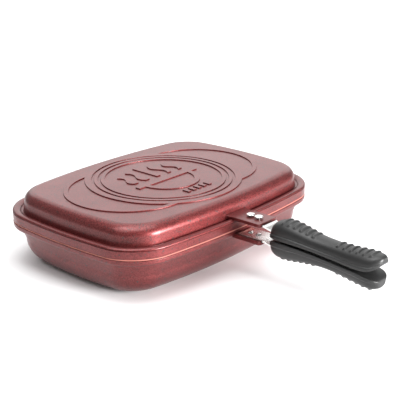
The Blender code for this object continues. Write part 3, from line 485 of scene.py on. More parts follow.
# Upper pan: the shallow half, cast and coated like the lower one. Its rim band carries a fine
# groove and a bead, and the flat top has raised ribs that make its feet when the pan is turned.
UPPER_RIM_Z = 0.0541
UPPER_DEPTH = 0.0312
TOP_Z = UPPER_RIM_Z + UPPER_DEPTH
UPPER_BAND = 0.0088
GROOVE_DEPTH = 0.0008
GROOVE_HEIGHT = 0.0010
BEAD_RISE = 0.0024
BEAD_WIDTH = 0.0085
FOOT_INSET = 0.0105
FOOT_DROP = 0.0014
TOP_WALL_X = 0.0125
TOP_WALL_Y = 0.0115
TOP_ROUND_WIDTH = 0.0130
TOP_ROUND_HEIGHT = 0.0120
TOP_THICKNESS = 0.0040
SEAL_GROOVE_INNER = 0.0095
SEAL_GROOVE_OUTER = 0.0045
SEAL_GROOVE_DEPTH = 0.0038
UPPER_BRACKET_TOP = 0.0710
UPPER_BRACKET_LOW = 0.0652
UPPER_SWEEP = 0.0030
KNUCKLE_HALF = 0.0040
KNUCKLE_ROOT_Y = 0.1182
RIB_HEIGHT = 0.0012
RIB_SINK = 0.0005
RIB_EDGE = 0.0005
RING_RADII = ((0.0870, 0.0955), (0.0793, 0.0842), (0.0709, 0.0762))
RING_STEPS = 160
CRESCENT_OFFSET = 0.0585
CRESCENT_RADII = (0.0708, 0.0765)
CRESCENT_STEPS = 72
BOWL_RADIUS = 0.0400
BOWL_LINE = 0.0070
BOWL_TOP = -0.0060
BOWL_LIP_LENGTH = 0.1000
BOWL_LIP_WIDTH = 0.0070
BOWL_STEPS = 48
STEAM_COUNT = 5
STEAM_PITCH = 0.0190
STEAM_LINE = 0.0066
STEAM_START = 0.0080
STEAM_LENGTH = 0.0420
STEAM_SHORTER = 0.0060
STEAM_WAVE = 0.0036
STEAM_STEPS = 40
BAR_COUNT = 5
BAR_PITCH = 0.0090
BAR_WIDTH = 0.0046
BAR_LENGTH = 0.0100
BAR_ROW = -0.0550


def upper_profile():
    """From the cavity's ceiling down its wall, over the rim and up the outside to the top."""
    ceiling = TOP_Z - TOP_THICKNESS
    half_wall = WALL_THICKNESS / 2
    height = TOP_ROUND_HEIGHT - half_wall
    width = TOP_ROUND_WIDTH - half_wall
    inner_x = TOP_WALL_X + WALL_THICKNESS
    inner_y = TOP_WALL_Y + WALL_THICKNESS
    profile = quarter((inner_x + width, inner_y + width, ceiling), (inner_x, inner_y, ceiling - height),
                      ROUND_STEPS, True)
    profile.append(even(MOUTH_INSET, UPPER_RIM_Z + GROOVE_HEIGHT))
    profile += quarter(even(MOUTH_INSET, UPPER_RIM_Z + RIM_EDGE), even(MOUTH_INSET - RIM_EDGE, UPPER_RIM_Z),
                       EDGE_STEPS, False)
    groove_top = UPPER_RIM_Z + SEAL_GROOVE_DEPTH
    for inset, z in ((SEAL_GROOVE_INNER, UPPER_RIM_Z), (SEAL_GROOVE_INNER, groove_top),
                     (SEAL_GROOVE_OUTER, groove_top), (SEAL_GROOVE_OUTER, UPPER_RIM_Z)):
        profile.append(even(inset, z))
    profile += quarter(even(RIM_EDGE, UPPER_RIM_Z), even(0, UPPER_RIM_Z + RIM_EDGE), EDGE_STEPS, True)
    band = UPPER_RIM_Z + UPPER_BAND
    for i in range(2 * EDGE_STEPS + 1):
        angle = math.pi * i / (2 * EDGE_STEPS)
        rise = GROOVE_HEIGHT * (1 - math.cos(angle)) / 2
        profile.append(even(GROOVE_DEPTH * math.sin(angle), band + rise))
    bead = band + GROOVE_HEIGHT
    for i in range(1, ROUND_STEPS + 1):
        angle = math.pi * i / ROUND_STEPS
        inset = BEAD_WIDTH / 2 * (1 - math.cos(angle))
        drop = FOOT_DROP / 2 * (1 - math.cos(angle)) / 2
        profile.append(even(inset, bead + BEAD_RISE * math.sin(angle) - drop))
    foot = bead - FOOT_DROP
    for i in range(1, EDGE_STEPS + 1):
        share = i / EDGE_STEPS
        drop = FOOT_DROP / 2 * (1 + math.sin(math.pi / 2 * share))
        profile.append(even(BEAD_WIDTH + (FOOT_INSET - BEAD_WIDTH) * share, bead - drop))
    shoulder = TOP_Z - TOP_ROUND_HEIGHT
    for i in range(1, EDGE_STEPS + 1):
        share = (i / EDGE_STEPS) ** 2
        profile.append((FOOT_INSET + (TOP_WALL_X - FOOT_INSET) * math.sqrt(share),
                        FOOT_INSET + (TOP_WALL_Y - FOOT_INSET) * math.sqrt(share),
                        foot + (shoulder - foot) * share))
    profile += quarter((TOP_WALL_X, TOP_WALL_Y, shoulder),
                       (TOP_WALL_X + TOP_ROUND_WIDTH, TOP_WALL_Y + TOP_ROUND_WIDTH, TOP_Z),
                       ROUND_STEPS, False)[1:]
    return profile


def arc(centre_x, centre_y, radius, start, end, steps):
    angles = [start + (end - start) * i / steps for i in range(steps + 1)]
    return [Vector((centre_x + radius * math.cos(a), centre_y + radius * math.sin(a))) for a in angles]


def rib(left, right):
    """Raised rib between two lines that run the same way, with its top edges eased."""
    count = len(left)
    rings = []
    for i in range(count):
        across = (right[i] - left[i]).normalized()
        outer, inner = right[i] - across * RIB_EDGE, left[i] + across * RIB_EDGE
        section = [(left[i], TOP_Z - RIB_SINK), (right[i], TOP_Z - RIB_SINK)]
        for j in range(EDGE_STEPS + 1):
            angle = math.pi / 2 * j / EDGE_STEPS
            spot = outer + across * RIB_EDGE * math.cos(angle)
            section.append((spot, TOP_Z + RIB_HEIGHT - RIB_EDGE * (1 - math.sin(angle))))
        for j in range(EDGE_STEPS + 1):
            angle = math.pi / 2 * j / EDGE_STEPS
            spot = inner - across * RIB_EDGE * math.sin(angle)
            section.append((spot, TOP_Z + RIB_HEIGHT - RIB_EDGE * (1 - math.cos(angle))))
        rings.append([Vector((spot.x, spot.y, z)) for spot, z in section])
    return rings


def ring_ribs():
    items = []
    for inner, outer in RING_RADII:
        left = arc(0, 0, inner, 0, 2 * math.pi, RING_STEPS)[:-1]
        right = arc(0, 0, outer, 0, 2 * math.pi, RING_STEPS)[:-1]
        items.append(loft("ring", rib(left, right), closed=True))
    return items


def crescent_ribs():
    """Two open arcs beside the outer ring, which end in the middle of that ring."""
    inner, outer = CRESCENT_RADII
    middle = (inner + outer) / 2
    ring = sum(RING_RADII[0]) / 2
    spread = (ring ** 2 - middle ** 2 - CRESCENT_OFFSET ** 2) / (2 * middle * CRESCENT_OFFSET)
    half = math.acos(spread)
    items = []
    for sign, facing in ((1, 0), (-1, math.pi)):
        left = arc(sign * CRESCENT_OFFSET, 0, inner, facing - half, facing + half, CRESCENT_STEPS)
        right = arc(sign * CRESCENT_OFFSET, 0, outer, facing - half, facing + half, CRESCENT_STEPS)
        items.append(loft("crescent", rib(left, right)))
    return items


def bar(x, y, length_x, length_y):
    left = [Vector((x - length_x / 2, y + length_y / 2)), Vector((x + length_x / 2, y + length_y / 2))]
    right = [Vector((x - length_x / 2, y - length_y / 2)), Vector((x + length_x / 2, y - length_y / 2))]
    return loft("bar", rib(left, right))


def bowl_motif():
    """Generic cooking sign: an open bowl, lines of steam over it and a row of bars below."""
    left = arc(0, BOWL_TOP, BOWL_RADIUS - BOWL_LINE, math.pi, 2 * math.pi, BOWL_STEPS)
    right = arc(0, BOWL_TOP, BOWL_RADIUS, math.pi, 2 * math.pi, BOWL_STEPS)
    items = [loft("bowl", rib(left, right)), bar(0, BOWL_TOP, BOWL_LIP_LENGTH, BOWL_LIP_WIDTH)]
    for i in range(STEAM_COUNT):
        column = i - (STEAM_COUNT - 1) / 2
        lean = (column > 0) - (column < 0)
        length = STEAM_LENGTH - STEAM_SHORTER * abs(column)
        line = []
        for step in range(STEAM_STEPS + 1):
            share = step / STEAM_STEPS
            wave = lean * STEAM_WAVE * math.sin(2 * math.pi * share)
            line.append(Vector((column * STEAM_PITCH + wave, STEAM_START + length * share)))
        half = Vector((STEAM_LINE / 2, 0))
        items.append(loft("steam", rib([spot - half for spot in line], [spot + half for spot in line])))
    for i in range(BAR_COUNT):
        items.append(bar((i - (BAR_COUNT - 1) / 2) * BAR_PITCH, BAR_ROW, BAR_WIDTH, BAR_LENGTH))
    return items


upper_pan = loft("upper_pan_cast", rim_rings(upper_profile()))
upper_parts = ring_ribs() + crescent_ribs() + bowl_motif()
upper_parts.append(bracket(UPPER_BRACKET_LOW, UPPER_BRACKET_TOP, 0, UPPER_SWEEP))
for side in (-1, 1):
    centre = side * HINGE_X
    upper_parts.append(eye(centre - KNUCKLE_HALF, centre + KNUCKLE_HALF, KNUCKLE_ROOT_Y, -1))
combine(upper_pan, upper_parts, "UNION")
upper_plate = UPPER_BRACKET_TOP - BRACKET_PLATE
upper_cuts = [channel(UPPER_BRACKET_LOW - OVERRUN, upper_plate), *bores()]
upper_cuts += rivet_holes(upper_plate - OVERRUN, UPPER_BRACKET_TOP + OVERRUN)
combine(upper_pan, upper_cuts, "DIFFERENCE")
dress(upper_pan, coat_material, "upper_half", "upper_pan")


# Gasket: a salmon silicone seal. Its lip shows as a thin line between the rims, and the bead
# behind it is pressed into a groove of the upper half.
GASKET_LOW = 0.0524
GASKET_LIP_TOP = 0.0538
GASKET_TOP = 0.0576
GASKET_LIP_INSET = 0.0002
GASKET_BEAD_INSET = 0.0048
GASKET_INNER = 0.0092
SILICONE = (0.420, 0.130, 0.100)
SILICONE_DUSTY = (0.500, 0.180, 0.145)
SILICONE_CLOUD_SCALE = 60.0
SILICONE_CLOUD_DETAIL = 3.0
SILICONE_GRAIN_SCALE = 2200.0
SILICONE_GRAIN_DEPTH = 0.0001
SILICONE_GRAIN_STRENGTH = 0.3
SILICONE_ROUGH_SHARES = (0.42, 0.2)


def silicone():
    rubber = Finish("silicone")
    place = rubber.place()
    cloud = rubber.noise(place, SILICONE_CLOUD_SCALE, SILICONE_CLOUD_DETAIL)
    rubber.feed("Base Color", rubber.blend(cloud, SILICONE, SILICONE_DUSTY))
    rough, cloudy = SILICONE_ROUGH_SHARES
    rubber.feed("Roughness", rough + cloud * cloudy)
    grain = rubber.noise(place, SILICONE_GRAIN_SCALE)
    rubber.bump(grain, SILICONE_GRAIN_DEPTH, SILICONE_GRAIN_STRENGTH)
    return rubber.material


gasket_profile = []
half_lip = (GASKET_LIP_TOP - GASKET_LOW) / 2
for step in range(2 * EDGE_STEPS + 1):
    angle = math.pi * step / (2 * EDGE_STEPS)
    gasket_profile.append(even(GASKET_LIP_INSET + half_lip * (1 - math.sin(angle)),
                               GASKET_LOW + half_lip * (1 - math.cos(angle))))
for inset, z in ((GASKET_BEAD_INSET, GASKET_LIP_TOP), (GASKET_BEAD_INSET, GASKET_TOP),
                 (GASKET_INNER, GASKET_TOP), (GASKET_INNER, GASKET_LOW)):
    gasket_profile.append(even(inset, z))
gasket = loft("silicone_gasket", rim_rings(gasket_profile), closed=True)
dress(gasket, silicone(), "upper_half", "gasket")


# Tangs: straps of stainless steel, laid flat in the brackets, stepped down at the front and pushed
# into the grips. The step of the upper one shows between bracket and grip.
TANG_HALF_THICKNESS = 0.0011
TANG_HALF = 0.0124
TANG_TAIL_HALF = 0.0085
TANG_BACK_Y = -0.1280
TANG_BEND_Y = -0.1625
TANG_STEP_Y = -0.1755
TANG_TAIL_Y = -0.2500
TANG_EDGE = 0.0004
TANG_STEPS = 14
UPPER_TANG_Z = 0.0666
LOWER_TANG_Z = 0.0487
UPPER_TAIL_Z = 0.0620
LOWER_TAIL_Z = 0.0440
SCREW_Y = -0.2080
SCREW_HOLE = 0.0021
STEEL_BRIGHT = (0.860, 0.845, 0.830)
STEEL_DULL = (0.620, 0.610, 0.600)
TANG_EDGE_STEPS = 3
STEEL_LINE_SCALE = 2600.0
STEEL_LINE_DETAIL = 4.0
STEEL_LINE_DEPTH = 0.00005
STEEL_LINE_STRENGTH = 0.25
STEEL_CLOUD_SCALE = 90.0
STEEL_STRETCH_SHARES = (1.0, 0.04, 1.0)
STEEL_TONE_SHARES = (0.7, 0.3)
STEEL_ROUGH_SHARES = (0.14, 0.12, 0.08)


def polished_steel():
    """Stainless steel with fine grinding lines along the strap and faint cloudiness."""
    steel = Finish("polished_steel", metallic=1.0)
    place = steel.place()
    drawn = steel.node("ShaderNodeMapping", {}, {"Vector": place, "Scale": STEEL_STRETCH_SHARES})
    lines = steel.noise(drawn, STEEL_LINE_SCALE, STEEL_LINE_DETAIL)
    cloud = steel.noise(place, STEEL_CLOUD_SCALE)
    lined, cloudy = STEEL_TONE_SHARES
    steel.feed("Base Color", steel.blend(lines * lined + cloud * cloudy, STEEL_DULL, STEEL_BRIGHT))
    rough, lined, cloudy = STEEL_ROUGH_SHARES
    steel.feed("Roughness", rough + lines * lined + cloud * cloudy)
    steel.bump(lines, STEEL_LINE_DEPTH, STEEL_LINE_STRENGTH)
    return steel.material


def tang(name, flat_z, tail_z, body, node):
    stations = [(TANG_BACK_Y, TANG_HALF, flat_z)]
    for i in range(TANG_STEPS + 1):
        share = i / TANG_STEPS
        eased = share * share * (3 - 2 * share)
        stations.append((TANG_BEND_Y + (TANG_STEP_Y - TANG_BEND_Y) * share,
                         TANG_HALF + (TANG_TAIL_HALF - TANG_HALF) * eased,
                         flat_z + (tail_z - flat_z) * eased))
    stations.append((TANG_TAIL_Y, TANG_TAIL_HALF, tail_z))
    rings = []
    for y, half, z in stations:
        box = eased_box(half, z - TANG_HALF_THICKNESS, z + TANG_HALF_THICKNESS, TANG_EDGE, TANG_EDGE_STEPS)
        rings.append([Vector((x, y, height)) for x, height in box])
    strap = loft(name, rings)
    thick = 2 * TANG_HALF_THICKNESS
    cuts = rivet_holes(flat_z - thick, flat_z + thick)
    line = [(SCREW_HOLE, tail_z - thick), (SCREW_HOLE, tail_z + thick)]
    cuts.append(turned("screw_hole", line, (0, SCREW_Y, 0), (0, 0, 1)))
    combine(strap, cuts, "DIFFERENCE")
    dress(strap, steel_material, body, node)


steel_material = polished_steel()
tang("upper_tang_strap", UPPER_TANG_Z, UPPER_TAIL_Z, "upper_half", "upper_tang")
tang("lower_tang_strap", LOWER_TANG_Z, LOWER_TAIL_Z, "lower_half", "lower_tang")


# Rivets: two steel rivets in each bracket, with a low domed head outside and a smaller closed end
# on the tang inside.
RIVET_SHANK = 0.0022
RIVET_HEAD = 0.0052
RIVET_HEAD_HEIGHT = 0.0013
RIVET_TAIL = 0.0036
RIVET_TAIL_HEIGHT = 0.0013
FACE_GAP = 0.0003
RIVET_TAIL_STEPS = 10
RIVET_HEAD_STEPS = 14


def dome(radius, base, height, steps, power=0.5):
    """Low dome as (radius, distance) points from its edge towards its middle."""
    points = []
    for i in range(steps):
        angle = math.pi / 2 * i / steps
        points.append((radius * math.cos(angle) ** power, base + height * math.sin(angle)))
    return points


def rivet(name, y, head_z, tail_z, side, body, node):
    length = abs(head_z - tail_z)
    tail = [(r, -length - d) for r, d in dome(RIVET_TAIL, 0, RIVET_TAIL_HEIGHT, RIVET_TAIL_STEPS)]
    profile = tail[::-1] + [(RIVET_SHANK, -length), (RIVET_SHANK, 0)]
    profile += dome(RIVET_HEAD, 0, RIVET_HEAD_HEIGHT, RIVET_HEAD_STEPS)
    piece = turned(name, profile, (0, y, head_z), (0, 0, side))
    dress(piece, steel_material, body, node)


for number, y in enumerate(RIVET_PLACES, start=1):
    upper_inside = UPPER_TANG_Z - TANG_HALF_THICKNESS - FACE_GAP
    lower_inside = LOWER_TANG_Z + TANG_HALF_THICKNESS + FACE_GAP
    rivet(f"upper_rivet_head_{number}", y, UPPER_BRACKET_TOP + FACE_GAP, upper_inside, 1,
          "upper_half", f"upper_rivet_{number}")
    rivet(f"lower_rivet_head_{number}", y, LOWER_BRACKET_BOTTOM - FACE_GAP, lower_inside, -1,
          "lower_half", f"lower_rivet_{number}")


# Grips: moulded in black heat-proof plastic, with a flange along the inner edge, a pinched waist
# and two groups of low ribs across the crown. Each hides its tang, its screw and a magnet.
GRIP_FRONT_Y = -0.1730
GRIP_LENGTH = 0.1400
GRIP_HALF = 0.0175
GRIP_REACH = 0.0240
GRIP_STEPS = 300
GRIP_ROUND_STEPS = 56
GRIP_SECTION_SHARES = (
    (0.80, 0.000), (0.92, 0.010), (0.985, 0.04), (1.00, 0.09), (1.00, 0.20), (0.985, 0.25),
    (0.935, 0.29), (0.905, 0.33), (0.895, 0.40), (0.875, 0.49), (0.835, 0.60), (0.765, 0.72),
    (0.655, 0.83), (0.50, 0.915), (0.28, 0.975), (0.00, 1.000),
)
# Each station: place along the grip, half width, inner face and outer face from the seam
UPPER_GRIP_SHARES = (
    (0.000, 0.60, 0.279, 0.558), (0.006, 0.75, 0.213, 0.704), (0.021, 0.87, 0.179, 0.829),
    (0.057, 0.96, 0.162, 0.937), (0.121, 0.99, 0.158, 0.996), (0.200, 0.98, 0.154, 0.963),
    (0.293, 0.93, 0.129, 0.854), (0.393, 0.86, 0.088, 0.737), (0.507, 0.81, 0.021, 0.671),
    (0.621, 0.82, -0.029, 0.638), (0.721, 0.89, -0.062, 0.629), (0.800, 0.96, -0.067, 0.646),
    (0.871, 0.99, -0.050, 0.671), (0.929, 0.93, 0.012, 0.671), (0.964, 0.75, 0.121, 0.654),
    (0.989, 0.51, 0.246, 0.612), (1.000, 0.29, 0.350, 0.558),
)
LOWER_GRIP_SHARES = (
    (0.000, 0.60, -0.160, -0.463), (0.006, 0.75, -0.050, -0.608), (0.021, 0.87, 0.020, -0.729),
    (0.057, 0.96, 0.060, -0.838), (0.121, 0.99, 0.070, -0.854), (0.200, 0.98, 0.056, -0.812),
    (0.293, 0.93, 0.020, -0.738), (0.393, 0.86, -0.040, -0.700), (0.507, 0.81, -0.104, -0.696),
    (0.621, 0.82, -0.150, -0.746), (0.721, 0.89, -0.171, -0.821), (0.800, 0.96, -0.196, -0.888),
    (0.871, 0.99, -0.254, -0.938), (0.921, 0.94, -0.312, -0.946), (0.957, 0.78, -0.379, -0.904),
    (0.979, 0.54, -0.454, -0.838), (0.986, 0.31, -0.525, -0.754),
)
RIB_COUNT = 6
RIB_ROWS_SHARES = ((0.1086, 0.0571), (0.6164, 0.0593))
RIB_RADIUS = 0.0019
RIB_PROUD = 0.0014
RIB_SPREAD = 0.60
RIB_FADE = 0.06
MAGNET_Y = -0.2710
MAGNET_RADIUS = 0.0050
MAGNET_SINK = 0.0006
MAGNET_THICKNESS = 0.0030
SCREW_RADIUS = 0.0018
SCREW_HEAD = 0.0034
SCREW_HEAD_HEIGHT = 0.0022
SCREW_SINK = 0.0010
SCREW_REACH = 0.0060
GRIP_BLACK = (0.007, 0.007, 0.007)
GRIP_GREY = (0.020, 0.020, 0.020)
GRIP_CREASE = math.radians(48.0)
GRIP_ENDS_SHARE = 0.35
SLOT_EDGE_STEPS = 2
GRIP_GRAIN_SCALE = 1500.0
GRIP_GRAIN_DETAIL = 4.0
GRIP_GRAIN_DEPTH = 0.00012
GRIP_GRAIN_STRENGTH = 0.35
GRIP_CLOUD_SCALE = 45.0
GRIP_CLOUD_DETAIL = 3.0
GRIP_TONE_SHARE = 0.5
GRIP_ROUGH_SHARES = (0.30, 0.14, 0.06)


def black_plastic():
    """Satin moulded plastic: fine spark texture, faint cloudiness and polish from handling."""
    plastic = Finish("black_plastic")
    place = plastic.place()
    grain = plastic.noise(place, GRIP_GRAIN_SCALE, GRIP_GRAIN_DETAIL)
    cloud = plastic.noise(place, GRIP_CLOUD_SCALE, GRIP_CLOUD_DETAIL)
    tone = grain * GRIP_TONE_SHARE + cloud * GRIP_TONE_SHARE
    plastic.feed("Base Color", plastic.blend(tone, GRIP_BLACK, GRIP_GREY))
    rough, cloudy, grainy = GRIP_ROUGH_SHARES
    plastic.feed("Roughness", rough + cloud * cloudy + grain * grainy)
    plastic.bump(grain, GRIP_GRAIN_DEPTH, GRIP_GRAIN_STRENGTH)
    return plastic.material


def spline_at(rows, place):
    """Values of a table at a place, on a smooth curve through its rows."""
    last = len(rows) - 2
    index = max(i for i in range(last + 1) if rows[i][0] <= place or i == 0)
    first, second = rows[index], rows[index + 1]
    before = rows[index - 1] if index > 0 else first
    after = rows[index + 2] if index < last else second
    span = second[0] - first[0]
    t = min(1.0, max(0.0, (place - first[0]) / span))
    values = []
    for a, b, c, d in zip(before[1:], first[1:], second[1:], after[1:]):
        run_in = (c - a) / (second[0] - before[0]) * span
        run_out = (d - b) / (after[0] - first[0]) * span
        values.append((2 * t ** 3 - 3 * t ** 2 + 1) * b + (t ** 3 - 2 * t ** 2 + t) * run_in
                      + (3 * t ** 2 - 2 * t ** 3) * c + (t ** 3 - t ** 2) * run_out)
    return values


def section_curve():
    """Half of a grip's section as smooth (across, up) shares, from the inner face to the crown."""
    rows = [(i, *shares) for i, shares in enumerate(GRIP_SECTION_SHARES)]
    last = len(rows) - 1
    return [spline_at(rows, last * i / GRIP_ROUND_STEPS) for i in range(GRIP_ROUND_STEPS + 1)]


def rib_height(along, across):
    """How far the ribs stand out of a grip at a place of its crown."""
    distance = GRIP_LENGTH
    for start, pitch in RIB_ROWS_SHARES:
        for i in range(RIB_COUNT):
            distance = min(distance, abs(along - start - pitch * i) * GRIP_LENGTH)
    ridge = max(0.0, 1 - (distance / RIB_RADIUS) ** 2) ** 0.5
    fade = min(1.0, max(0.0, (RIB_SPREAD - abs(across)) / RIB_FADE))
    return RIB_PROUD * ridge * fade * fade * (3 - 2 * fade)


def grip_places(rows):
    """Places along a grip: close together at its rounded ends, and even between them."""
    last = rows[-1][0]
    places = []
    for i in range(GRIP_STEPS + 1):
        share = i / GRIP_STEPS
        ends = 0.5 - 0.5 * math.cos(math.pi * share)
        places.append(last * (GRIP_ENDS_SHARE * ends + (1 - GRIP_ENDS_SHARE) * share))
    return places


def grip(name, rows, side, flat_z, tail_z, body, node):
    curve = section_curve()
    rings = []
    for along in grip_places(rows):
        wide, inner, outer = spline_at(rows, along)
        y = GRIP_FRONT_Y - GRIP_LENGTH * along
        low = HINGE_Z + GRIP_REACH * inner
        high = HINGE_Z + GRIP_REACH * outer
        right = []
        for across, up in curve:
            z = low + (high - low) * up + side * rib_height(along, across) * (up > 0.5)
            right.append(Vector((GRIP_HALF * wide * across, y, z)))
        rings.append(right + [Vector((-spot.x, spot.y, spot.z)) for spot in reversed(right[:-1])])
    piece = loft(name, rings)
    slot_half = TANG_HALF_THICKNESS + FACE_GAP
    slot_rings = []
    for y, half, z in ((TANG_BEND_Y, TANG_HALF, flat_z), (TANG_STEP_Y, TANG_TAIL_HALF, tail_z),
                       (TANG_TAIL_Y - FACE_GAP, TANG_TAIL_HALF, tail_z)):
        box = eased_box(half + FACE_GAP, z - slot_half, z + slot_half, TANG_EDGE, SLOT_EDGE_STEPS)
        slot_rings.append([Vector((x, y, height)) for x, height in box])
    cuts = [loft("tang_slot", slot_rings)]
    face = HINGE_Z + GRIP_REACH * spline_at(rows, (GRIP_FRONT_Y - SCREW_Y) / GRIP_LENGTH)[1]
    seat = SCREW_SINK + SCREW_HEAD_HEIGHT + FACE_GAP
    end = abs(tail_z - face) + SCREW_REACH + FACE_GAP
    line = [(SCREW_HEAD + FACE_GAP, -OVERRUN), (SCREW_HEAD + FACE_GAP, seat),
            (SCREW_RADIUS + FACE_GAP, seat), (SCREW_RADIUS + FACE_GAP, end)]
    cuts.append(turned("screw_cut", line, (0, SCREW_Y, face), (0, 0, side)))
    face = HINGE_Z + GRIP_REACH * spline_at(rows, (GRIP_FRONT_Y - MAGNET_Y) / GRIP_LENGTH)[1]
    seat = MAGNET_SINK + MAGNET_THICKNESS
    line = [(MAGNET_RADIUS + FACE_GAP, -OVERRUN), (MAGNET_RADIUS + FACE_GAP, seat)]
    cuts.append(turned("magnet_cut", line, (0, MAGNET_Y, face), (0, 0, side)))
    combine(piece, cuts, "DIFFERENCE")
    dress(piece, plastic_material, body, node, GRIP_CREASE)


plastic_material = black_plastic()
grip("upper_grip_moulding", UPPER_GRIP_SHARES, 1, UPPER_TANG_Z, UPPER_TAIL_Z, "upper_half", "upper_grip")
grip("lower_grip_moulding", LOWER_GRIP_SHARES, -1, LOWER_TANG_Z, LOWER_TAIL_Z, "lower_half", "lower_grip")


# Grip screws: pan head screws with a cross slot, sunk into the faces that meet; each passes its
# tang and ends in its grip. A slight round on the head and a point on the shank finish them.
SCREW_SLOT_HALF = 0.00045
SCREW_SLOT_DEPTH = 0.0009
SCREW_SLOT_REACH = 0.00245
SCREW_CHAMFER = 0.0004
SCREW_DOME_STEPS = 10
SCREW_DOME_POWER = 0.3


def inner_face(rows, y):
    return HINGE_Z + GRIP_REACH * spline_at(rows, (GRIP_FRONT_Y - y) / GRIP_LENGTH)[1]


def grip_screw(name, rows, side, tail_z, body, node):
    seat = inner_face(rows, SCREW_Y) + side * (SCREW_SINK + SCREW_HEAD_HEIGHT)
    reach = abs(tail_z - seat) + SCREW_REACH
    head = dome(SCREW_HEAD, SCREW_HEAD_HEIGHT - 2 * SCREW_CHAMFER, 2 * SCREW_CHAMFER,
                SCREW_DOME_STEPS, SCREW_DOME_POWER)
    profile = [(r, -d) for r, d in head][::-1]
    profile += [(SCREW_HEAD, 0), (SCREW_RADIUS, 0), (SCREW_RADIUS, reach - SCREW_CHAMFER),
                (SCREW_RADIUS - SCREW_CHAMFER, reach)]
    piece = turned(name, profile, (0, SCREW_Y, seat), (0, 0, side))
    top = seat - side * SCREW_HEAD_HEIGHT
    low, high = sorted((top - side * OVERRUN, top + side * SCREW_SLOT_DEPTH))
    slots = []
    for x, y in ((SCREW_SLOT_REACH, SCREW_SLOT_HALF), (SCREW_SLOT_HALF, SCREW_SLOT_REACH)):
        slots.append(block("slot", (-x, SCREW_Y - y, low), (x, SCREW_Y + y, high)))
    combine(piece, slots, "DIFFERENCE")
    dress(piece, steel_material, body, node)


grip_screw("upper_screw_piece", UPPER_GRIP_SHARES, 1, UPPER_TAIL_Z, "upper_half", "upper_grip_screw")
grip_screw("lower_screw_piece", LOWER_GRIP_SHARES, -1, LOWER_TAIL_Z, "lower_half", "lower_grip_screw")


# Magnets: nickel plated discs with chamfered edges, just below the faces that meet.
MAGNET_CHAMFER = 0.0003
MAGNET_STEPS = 64
NICKEL_WARM = (0.640, 0.610, 0.570)
NICKEL_PALE = (0.740, 0.720, 0.690)
NICKEL_CLOUD_SCALE = 240.0
NICKEL_CLOUD_DETAIL = 3.0
NICKEL_GRAIN_SCALE = 1800.0
NICKEL_GRAIN_DEPTH = 0.00004
NICKEL_GRAIN_STRENGTH = 0.2
NICKEL_ROUGH_SHARES = (0.20, 0.14)


def plated_magnet():
    nickel = Finish("plated_magnet", metallic=1.0)
    place = nickel.place()
    cloud = nickel.noise(place, NICKEL_CLOUD_SCALE, NICKEL_CLOUD_DETAIL)
    nickel.feed("Base Color", nickel.blend(cloud, NICKEL_WARM, NICKEL_PALE))
    rough, cloudy = NICKEL_ROUGH_SHARES
    nickel.feed("Roughness", rough + cloud * cloudy)
    grain = nickel.noise(place, NICKEL_GRAIN_SCALE)
    nickel.bump(grain, NICKEL_GRAIN_DEPTH, NICKEL_GRAIN_STRENGTH)
    return nickel.material


def magnet(name, rows, side, body, node):
    near, far = MAGNET_SINK, MAGNET_SINK + MAGNET_THICKNESS
    profile = [(MAGNET_RADIUS - MAGNET_CHAMFER, near), (MAGNET_RADIUS, near + MAGNET_CHAMFER),
               (MAGNET_RADIUS, far - MAGNET_CHAMFER), (MAGNET_RADIUS - MAGNET_CHAMFER, far)]
    piece = turned(name, profile, (0, MAGNET_Y, inner_face(rows, MAGNET_Y)), (0, 0, side),
                   MAGNET_STEPS)
    dress(piece, nickel_material, body, node)


nickel_material = plated_magnet()
magnet("upper_magnet_disc", UPPER_GRIP_SHARES, 1, "upper_half", "upper_magnet")
magnet("lower_magnet_disc", LOWER_GRIP_SHARES, -1, "lower_half", "lower_magnet")


# Hinge pins and washers: steel pins through ears and knuckles, with a low domed head on the inner
# side and a closed end over a flat washer on the outer side.
PIN_RADIUS = 0.0025
PIN_HEAD = 0.0040
PIN_HEAD_LENGTH = 0.0014
PIN_HEAD_STEPS = 10
PIN_START = EAR_OUTER + FACE_GAP
WASHER_RADIUS = 0.0044
WASHER_THICKNESS = 0.0010
WASHER_EDGE = 0.0002

for name, side in (("left", -1), ("right", 1)):
    centre = (side * HINGE_X, HINGE_Y, HINGE_Z)
    end = PIN_START + WASHER_THICKNESS + FACE_GAP
    pin_profile = [(r, -PIN_START - d) for r, d in dome(PIN_HEAD, 0, PIN_HEAD_LENGTH, PIN_HEAD_STEPS)][::-1]
    pin_profile += [(PIN_RADIUS, -PIN_START), (PIN_RADIUS, end)]
    pin_profile += dome(PIN_HEAD, end, PIN_HEAD_LENGTH, PIN_HEAD_STEPS)
    pin = turned(f"{name}_pin_piece", pin_profile, centre, (side, 0, 0))
    dress(pin, steel_material, "lower_half", f"hinge_pin_{name}")
    hole = PIN_RADIUS + FACE_GAP
    low, high = PIN_START, PIN_START + WASHER_THICKNESS
    washer_profile = [(hole, low), (WASHER_RADIUS - WASHER_EDGE, low), (WASHER_RADIUS, low + WASHER_EDGE),
                      (WASHER_RADIUS, high - WASHER_EDGE), (WASHER_RADIUS - WASHER_EDGE, high), (hole, high)]
    washer = turned(f"{name}_washer_piece", washer_profile, centre, (side, 0, 0), closed=True)
    dress(washer, steel_material, "lower_half", f"hinge_washer_{name}")


# Floor, lights and camera: a plain white sweep under large soft lights, seen from where the
# photograph was taken.
FLOOR_HALF = 9.0
FLOOR_WHITE = (0.86, 0.86, 0.865)
FLOOR_ROUGH_SHARE = 0.9
FLOOR_CLOUD_SCALE = 3.0
FLOOR_SHADE_SHARE = 0.99
WORLD_STRENGTH = 0.34
